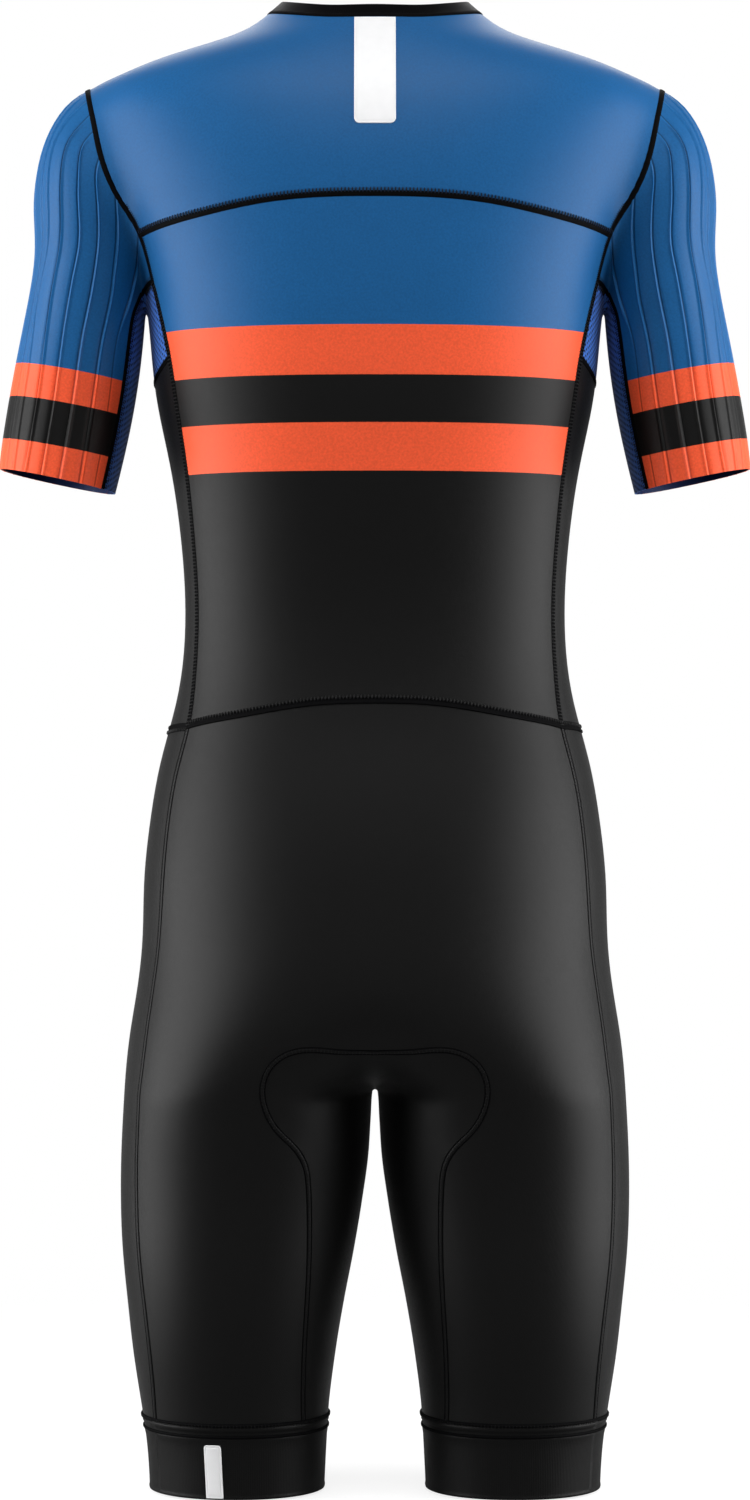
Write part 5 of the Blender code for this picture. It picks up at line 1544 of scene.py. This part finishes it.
class SUIT_OT_gusset(SuitOperator, Operator):
    """Seat and inner legs in one piece"""

    bl_idname = "suit.gusset"
    bl_label = "Gusset"

    def build(self, settings, find):
        panel("inner_leg_gusset", "black_tricot", INNER_LEG_GRID, flat_along(INNER_LEG_GRID),
              lined(find, "tricot_black"), settings.cloth)


def leg_ring(height=None):
    """Top edge of the left leg band, all round, or the ring below it at a height in mm."""
    ring = np.concatenate([BAND_BACK_ARC[:0:-1], INNER_LEG_GRID[0, :-1], BAND_FRONT_ARC[:-1],
                           BAND_SIDE_ARC[:0:-1]])
    if height is not None:
        ring[:, 2] = height * MM
        ring = on_skin(ring)
    return ring


def band_relief(drop):
    """Height of a leg band below its top edge: two rolled rings, then flat to a slightly rolled hem."""
    ring = 0.7 * np.exp(-((drop - 3.6) / 1.6) ** 4) + 0.4 * np.exp(-((drop - 11) / 1.7) ** 4)
    return (ring + 0.35 * np.exp(-((drop - 50.2) / 1.1) ** 2)) * MM


# Rows of a leg band, in mm below its top edge: close over the rings and the hem
BAND_DROPS = np.concatenate([np.linspace(0, 11, 19), np.linspace(12.5, 47, 15), np.linspace(48, 51.2, 6)])


class SUIT_OT_leg_bands(SuitOperator, Operator):
    """Gripper bands round the legs: each point is ring(s) lowered by d, raised by the band's relief at d"""

    bl_idname = "suit.leg_bands"
    bl_label = "Leg bands"

    def build(self, settings, find):
        ring = leg_ring()
        grid = np.repeat(ring[None], len(BAND_DROPS), 0)
        grid[1:, :, 2] = BAND_TOP_Z - BAND_DROPS[1:, None] * MM
        grid[1:] = on_skin(grid[1:])
        grid[-1, :, 2] = HEM_Z
        normals = outward(grid)
        turn = facing(grid, normals)
        grid[0] += stood_back(grid[0], normals[0] * turn, np.full(len(ring), SEAM_GAP / 2))
        outer = grid + normals * band_relief(BAND_DROPS)[:, None, None]
        flat = np.stack(np.broadcast_arrays(run_along(ring)[None], grid[..., 2]), -1)
        both_walls("leg_band", outer, grid - normals * settings.cloth, flat,
                   lined(find, "gripper_elastic"), closed=True)


class SUIT_OT_neck_band(SuitOperator, Operator):
    """Neck band, from one side of the zip round to the other, standing a little proud of the cloth"""

    bl_idname = "suit.neck_band"
    bl_label = "Neck band"

    def build(self, settings, find):
        foot, top = neck_top()
        share = np.linspace(0, 1, 2 * DETAIL + 1)[:, None]
        left, right = (top[end] + (foot[end] - top[end]) * share for end in (0, -1))
        grid = spread(top, foot, left, right)
        panel("neck_band", "gripper_tape", grid, flat_along(grid), lined(find, "neck_elastic"),
              settings.band_cloth, 0.4 * MM, top=False)


def on_back(x, z):
    """Points of the back with a given x and z."""
    x, z = np.broadcast_arrays(x, z)

    def inside(y):
        return skin(np.stack([x, y, z], -1)) < 0

    return np.stack([x, bisected(np.zeros(x.shape), np.full(x.shape, BACK_REACH), inside), z], -1)


def label_grid(centre, width, straight, rounded, corner):
    """Label on the suit's back from its straight end to its rounded one, and each point's way from its edge in mm.

    Its half width is w - r + sqrt(r2 - (r - d)2) at a distance d from the rounded end, r the corners' radius.
    """
    length = abs(straight - rounded)
    gone = np.concatenate([[0, 0.5, 1.0, 1.5, 2.0], np.linspace(3, (length - corner) / MM, 24)]) * MM
    gone = np.append(gone, length - corner * (1 - np.sin(np.linspace(0, math.pi / 2, 9)[1:])))
    left = np.clip(length - gone, 0, corner)
    half = width / 2 - corner + np.sqrt(np.maximum(corner ** 2 - (corner - left) ** 2, 0))
    steps = np.sin(np.linspace(-1, 1, 31) * math.pi / 2)
    rows = straight + gone * np.sign(rounded - straight)
    lean = LABEL_LEAN * (rows - straight) * np.sign(centre)
    grid = on_back(centre + lean[:, None] + steps[None] * half[:, None], rows[:, None])
    edge = np.minimum(half[:, None] * (1 - np.abs(steps)), np.minimum(gone, length - gone)[:, None])
    return grid, edge / MM


def label_relief(edge):
    """Height of a label's face: 0.8 mm, rounded off at its edge and pressed in along a line 1.3 mm from it."""
    return (0.8 - 0.3 * np.exp(-edge / 0.2) - 0.3 * np.exp(-((edge - 1.3) / 0.45) ** 2)) * MM


class SUIT_OT_labels(SuitOperator, Operator):
    """Bare white neck label below the neck band, and bare white tab on the left leg band"""

    bl_idname = "suit.labels"
    bl_label = "Labels"

    def build(self, settings, find):
        for node, *sizes in LABELS:
            grid, edge = label_grid(*(size * MM for size in sizes))
            normals = outward(grid)
            piece = wall(node + "_film", grid + normals * label_relief(edge)[..., None],
                         grid + normals * 0.1 * MM, flat_along(grid), [find("film_white")] * 2)
            dress(piece, node)


# ---------------------------------------------------------------- zip


def tape_edge():
    """Left edge of the zip's tape from the neck band's free edge to the waist seam."""
    return np.concatenate([neck_top()[1][:1], zip_edge()])


def zip_line():
    """Centre line of the zip from the neck band's free edge to the waist seam."""
    line = tape_edge()
    line[:, 0] = 0
    line = on_skin(line)
    line[:, 0] = 0
    return line


# One side's coil, in mm: its middle's distance from the zip's and height, its half width and half height, its wire
COIL_MIDDLE = 0.95
COIL_REACH, COIL_RISE = 1.2, 0.45
COIL_WIRE = 0.3 * MM


def coil(centre, side, pitch):
    """Flattened helix along one edge of the zip: x = side(0.95 + 1.2 cos a), height = 0.95 + 0.45 sin a, in mm.

    The turns of one side come half a pitch after those of the other.
    """
    normals = outward(centre)
    normals[:, 0] = 0
    normals = unit(normals)
    run = run_along(centre)
    places = np.arange(0, run[-1], pitch / 8)
    angle = places / pitch * 2 * math.pi + (0 if side > 0 else math.pi)
    base, out = read_along(places, run, centre), read_along(places, run, normals)
    across = np.array([1.0, 0, 0])
    path = (base + across * (side * (COIL_MIDDLE + COIL_REACH * np.cos(angle)) * MM)[:, None]
            + out * ((COIL_MIDDLE + COIL_RISE * np.sin(angle)) * MM)[:, None])
    along = unit(np.gradient(path, axis=0))
    first = unit(np.cross(along, out))
    second = np.cross(along, first)
    turn = np.arange(4) * math.pi / 2 + math.pi / 4
    points = path[:, None] + COIL_WIRE * (np.cos(turn)[None, :, None] * first[:, None]
                                          + np.sin(turn)[None, :, None] * second[:, None])
    last = 4 * (len(path) - 1)
    faces = np.concatenate([sheet_faces(len(path), 4, closed=True),
                            [[3, 2, 1, 0], [last, last + 1, last + 2, last + 3]]])
    flat = np.stack(np.broadcast_arrays(turn[None] * COIL_WIRE, places[:, None]), -1)
    return points.reshape(-1, 3), faces, flat.reshape(-1, 2)


class SUIT_OT_zip(SuitOperator, Operator):
    """Tape and nylon coils of the closed zip, and the finish of its slider and pull"""

    bl_idname = "suit.zip"
    bl_label = "Zip"

    def build(self, settings, find):
        edge, centre = tape_edge(), zip_line()
        share = np.array([0, 0.2, 0.42, 0.7, 1.0])[None, :, None]
        half = edge[:, None] + (centre - edge)[:, None] * share
        grid = np.concatenate([half, half[:, -2::-1] * TO_RIGHT], 1)
        panel("zip_tape", "zip_tape", grid, flat_along(grid), [find("zip_tape_weave")] * 2, 0.9 * MM, top=False)
        for name in ("zip_slider", "zip_pull"):
            for part in bpy.data.objects[name].material_slots:
                part.material = find("enamelled_zinc")
        down = stepped(centre, 1 * MM)
        down = down[(down[:, 2] < SLIDER_TOP_Z) & (down[:, 2] > CHAIN_FOOT_Z)]
        coils = [coil(down, side, settings.coil_pitch) for side in (1, -1)]
        dress(put("zip_coils", *together(coils), [find("nylon_coil")]), "zip_chain")


# ---------------------------------------------------------------- sewing

# Sections of the seams, in mm: sideways and height. The single seam's sideways ends are shares of half its width.
SINGLE_SEAM = ((-1, -0.3), (-1, 0.12), (-0.72, 0.46), (-0.3, 0.6), (0.3, 0.6), (0.72, 0.46), (1, 0.12), (1, -0.3))
DOUBLE_SEAM = ((-2.2, -0.3), (-2.2, 0.12), (-1.8, 0.55), (-1.0, 0.55), (-0.45, 0.06), (0.45, 0.06), (1.0, 0.55),
               (1.8, 0.55), (2.2, 0.12), (2.2, -0.3))
WAIST_SEAM = ((-2.4, -0.3), (-2.4, 0.1), (-2.0, 0.42), (-1.2, 0.42), (-0.4, 0.42), (0.1, 0.5), (0.6, 1.0),
              (2.0, 1.0), (2.4, 0.3), (2.4, -0.3))
FLAT_SEAM = ((-1.2, -0.3), (-1.2, 0.1), (-0.8, 0.36), (0.8, 0.36), (1.2, 0.1), (1.2, -0.3))
ZIP_EDGE = ((-0.6, -0.9), (-0.6, 0.12), (-0.3, 0.35), (0.3, 0.35), (0.6, 0.12), (0.6, -0.9))
EDGE_CORD = ((-0.5, -0.3), (-0.5, 0.08), (-0.2, 0.34), (0.2, 0.34), (0.5, 0.08), (0.5, -0.3))
BAND_CORD = ((-1.1, -0.3), (-1.1, 0.5), (-0.5, 1.15), (0.5, 1.15), (1.1, 0.5), (1.1, -0.3))
# Sideways places of the two cords that edge a flat seam, in mm
CORD_SHIFTS = (-1.7, 1.7)
# Sideways ends of the combs of thread
WAIST_COMB = (-0.6 * MM, -3.8 * MM)
FLAT_COMB = (-2.0 * MM, 2.0 * MM)
BAND_COMB = (-1.2 * MM, 2.2 * MM)


class SUIT_OT_seams(SuitOperator, Operator):
    """Seams of the suit, each a cord carried along its line, with the threads that hold it"""

    bl_idname = "suit.seams"
    bl_label = "Seams"

    def build(self, settings, find):
        half = settings.seam_width / 2
        single = np.array(SINGLE_SEAM) * (half, MM)
        double, waisted, flat, beside_zip, cord, band = (
            np.array(section) * MM for section in (DOUBLE_SEAM, WAIST_SEAM, FLAT_SEAM, ZIP_EDGE, EDGE_CORD, BAND_CORD))
        yoke, fronts = stepped(both_sides(YOKE_SEAM)), stepped(YOKE_FRONT_SEAM)
        sides = [stepped(joined(*side_lines(seam)[:2])) for seam in (side_back, side_front)]
        legs = [stepped(line) for line in (BACK_LEG, FRONT_LEG)]
        under = [stepped(line) for line in (UNDER_BACK, UNDER_FRONT)]
        waist = [stepped(joined(both_sides(WAIST_BACK_HALF), WAIST_ACROSS_SIDE * TO_RIGHT,
                                WAIST_FRONT_HALF * TO_RIGHT)),
                 stepped(joined(WAIST_ACROSS_SIDE, WAIST_FRONT_HALF))]
        gusset = [stepped(both_sides(line)) for line in (GUSSET_BACK_HALF, GUSSET_FRONT_HALF)]

        upper = [carried(line, single) for line in (yoke, stepped(neck_top()[0]))]
        upper += both([carried(stepped(tape_edge()), beside_zip)])
        upper += both(carried(line, single) for line in (stepped(ARMHOLE_LINE), fronts, *under, UNDERARM_GRID[-1]))
        lower = [carried(line, waisted) for line in waist] + both(carried(line, double) for line in sides)
        shorts = [carried(line, flat) for line in gusset] + both(carried(line, flat) for line in legs)

        def cords(lines):
            return [carried(line, cord + (shift * MM, 0)) for line in lines for shift in CORD_SHIFTS]

        edges = cords(gusset) + both(cords(legs))
        edges += both(carried(leg_ring(height), band, looped=True) for height in BAND_CORDS)
        for name, parts, finish in (("seams_upper", upper, "seam_binding"), ("seams_lower", lower, "seam_binding"),
                                    ("seams_shorts", shorts, "tricot_black"), ("seams_edges", edges, "seam_binding")):
            dress_seam(put(name, *together(parts), [find(finish)]))

        size, pitch = settings.thread / 2, settings.stitch
        comb = [threads(yoke, pitch, (-0.2 * half, -half - 2.2 * MM), 0.7 * MM, 2.4 * size)]
        lower = [threads(line, pitch, WAIST_COMB, 0.75 * MM, 2.4 * size) for line in waist]
        lower += [threads(line, pitch, FLAT_COMB, 0.5 * MM, size) for line in gusset]
        lower += both(threads(line, pitch, FLAT_COMB, 0.5 * MM, size) for line in legs)
        lower += both([threads(stepped(leg_ring(BAND_CORDS[0])), pitch, BAND_COMB, 1.25 * MM, 1.3 * size)])
        arm = stepped(armhole.at(np.linspace(0, 1.7 * yoke_corner, 60)))
        body = [threads(line, 1.5 * MM, (turn * 0.5 * half, turn * 1.7 * half), 0.6 * MM, size, 0.5 * MM)
                for line, turn in ((arm, 1), (arm * TO_FRONT, -1))]
        body += [threads(line, 1.7 * MM, (turn * 0.4 * half, turn * 2.6 * half), 0.6 * MM, size, 0.9 * MM)
                 for line, turn in zip(under, (-1, 1))]
        body += [threads(line, pitch, (-1.45 * half, 1.45 * half), 0.75 * MM, 2 * size) for line in (fronts, *sides)]
        for name, parts, finish in (("yoke_stitches", comb, "navy_thread"), ("shorts_stitches", lower, "black_thread"),
                                    ("body_stitches", body + [mirrored(part) for part in body], "black_thread")):
            dress_seam(put(name, *together(parts), [find(finish)]))


# ---------------------------------------------------------------- studio

# Lights: name, the setting of its power, place, width and height, and the turn that brings a strip's foot forward
STRIP_LEAN = math.radians(22)
LIGHTS = (
    ("side_left", "sides", (1.5, 0.2, -0.45), (1.4, 1.9), -STRIP_LEAN),
    ("side_right", "sides", (-1.5, 0.2, -0.45), (1.4, 1.9), STRIP_LEAN),
    ("key", "key", (0.0, 1.3, 1.8), (1.6, 1.2), 0.0),
    ("front", "front", (0.0, 3.4, -0.7), (1.6, 2.0), 0.0),
    ("fill", "fill", (0.0, -1.8, 1.2), (1.6, 1.2), 0.0),
)
LIT_POINT = np.array([0, 0, -0.5])
FLOOR_ROWS = 25
FLOOR_MARGIN = 0.1
SENSOR_HEIGHT = 24


def facing_matrix(place, aim):
    """Place something that looks along aim, upright."""
    turn = Vector(aim).to_track_quat("-Z", "Y")
    return Matrix.Translation(place) @ turn.to_matrix().to_4x4()


def white_backdrop(tent):
    """World that is white to the camera and lights the suit with an even tent, brighter from above."""
    world = bpy.data.worlds.new("white_backdrop")
    world.use_nodes = True
    tree = world.node_tree
    background = tree.nodes["Background"]
    background.inputs[0].default_value = (1, 1, 1, 1)
    seen = add(tree, "LightPath").outputs["Is Camera Ray"]
    height = add(tree, "SeparateXYZ", {0: add(tree, "TexCoord").outputs["Generated"]}).outputs[2]
    around = add(tree, "MapRange", {0: height, 1: -0.4, 2: 0.6, 3: 0.05, 4: 1.5 * tent})
    add(tree, "MapRange", {0: seen, 3: around, 4: 1.0}, background.inputs[1])
    return world


def pale_floor(material, low, reach):
    """Square of floor at a height, which fades into the backdrop: clear beyond a radius, full in its inner third."""
    across = np.linspace(-1, 1, FLOOR_ROWS) * (reach + FLOOR_MARGIN)
    u, v = np.meshgrid(across, across)
    points = np.stack([u, v, np.full_like(u, low)], -1).reshape(-1, 3)
    floor = put("studio_floor", points, sheet_faces(FLOOR_ROWS, FLOOR_ROWS), points[:, :2], [material])
    tree = material.node_tree
    place = add(tree, "TexCoord").outputs["Object"]
    level = add(tree, "VectorMath", {0: place, 1: (1, 1, 0)}, operation="MULTIPLY")
    radius = add(tree, "VectorMath", {0: level}, operation="LENGTH").outputs["Value"]
    add(tree, "MapRange", {0: radius, 1: 0.3 * reach, 2: reach, 3: 1.0, 4: 0.0},
        tree.nodes["Principled BSDF"].inputs["Alpha"], interpolation_type="SMOOTHSTEP")
    return floor


class SUIT_OT_studio(Operator):
    """White floor, even light from all round, tall soft strips at both sides, and the camera behind the suit"""

    bl_idname = "suit.studio"
    bl_label = "Studio"

    def execute(self, context):
        scene, studio = context.scene, context.scene.suit_studio
        scene.view_settings.view_transform = "Standard"
        scene.world = white_backdrop(studio.tent)
        pale_floor(finishes(scene.suit)("studio_white"), SOLID_BOX[0][2] - studio.floor_drop,
                            studio.floor_reach)
        for name, power, place, size, lean in LIGHTS:
            light = bpy.data.lights.new(name, "AREA")
            light.shape = "RECTANGLE"
            light.size, light.size_y = size
            light.energy = getattr(studio, power)
            lamp = bpy.data.objects.new(name, light)
            lamp.matrix_world = facing_matrix(place, LIT_POINT - place) @ Matrix.Rotation(lean, 4, "Z")
            scene.collection.objects.link(lamp)
        camera = bpy.data.cameras.new("camera")
        camera.sensor_fit = "VERTICAL"
        camera.sensor_height = SENSOR_HEIGHT
        camera.lens = SENSOR_HEIGHT * CAMERA_AWAY / FRAME_HEIGHT
        camera.clip_end = 50
        stand = bpy.data.objects.new("camera", camera)
        stand.matrix_world = facing_matrix((0, CAMERA_AWAY, CAMERA_Z), (0, -1, 0))
        scene.collection.objects.link(stand)
        scene.camera = stand
        return {"FINISHED"}


# ---------------------------------------------------------------- add-on

OPERATORS = (SUIT_OT_yoke, SUIT_OT_back_body, SUIT_OT_front_body, SUIT_OT_side_panels, SUIT_OT_underarm_mesh,
             SUIT_OT_sleeves, SUIT_OT_shorts, SUIT_OT_gusset, SUIT_OT_leg_bands, SUIT_OT_neck_band,
             SUIT_OT_labels, SUIT_OT_zip, SUIT_OT_seams, SUIT_OT_studio)


class SUIT_PT_sidebar(Panel):
    """Settings and pieces of the suit"""

    bl_label = "Triathlon suit"
    bl_idname = "SUIT_PT_sidebar"
    bl_space_type = "VIEW_3D"
    bl_region_type = "UI"
    bl_category = "Suit"

    def draw(self, context):
        for settings in (context.scene.suit, context.scene.suit_studio):
            column = self.layout.column()
            for name in settings.__annotations__:
                column.prop(settings, name)
        for kind in OPERATORS:
            self.layout.operator(kind.bl_idname)


CLASSES = (SuitSettings, StudioSettings, *OPERATORS, SUIT_PT_sidebar)


def register():
    """Register the classes and hang the settings on the scene."""
    for kind in CLASSES:
        bpy.utils.register_class(kind)
    bpy.types.Scene.suit = PointerProperty(type=SuitSettings)
    bpy.types.Scene.suit_studio = PointerProperty(type=StudioSettings)


def unregister():
    """Undo register."""
    del bpy.types.Scene.suit_studio
    del bpy.types.Scene.suit
    for kind in reversed(CLASSES):
        bpy.utils.unregister_class(kind)


def main():
    """Build the suit and its studio."""
    register()
    for kind in OPERATORS:
        group, name = kind.bl_idname.split(".")
        getattr(getattr(bpy.ops, group), name)()
    state_cuts()


if __name__ == "__main__":
    main()
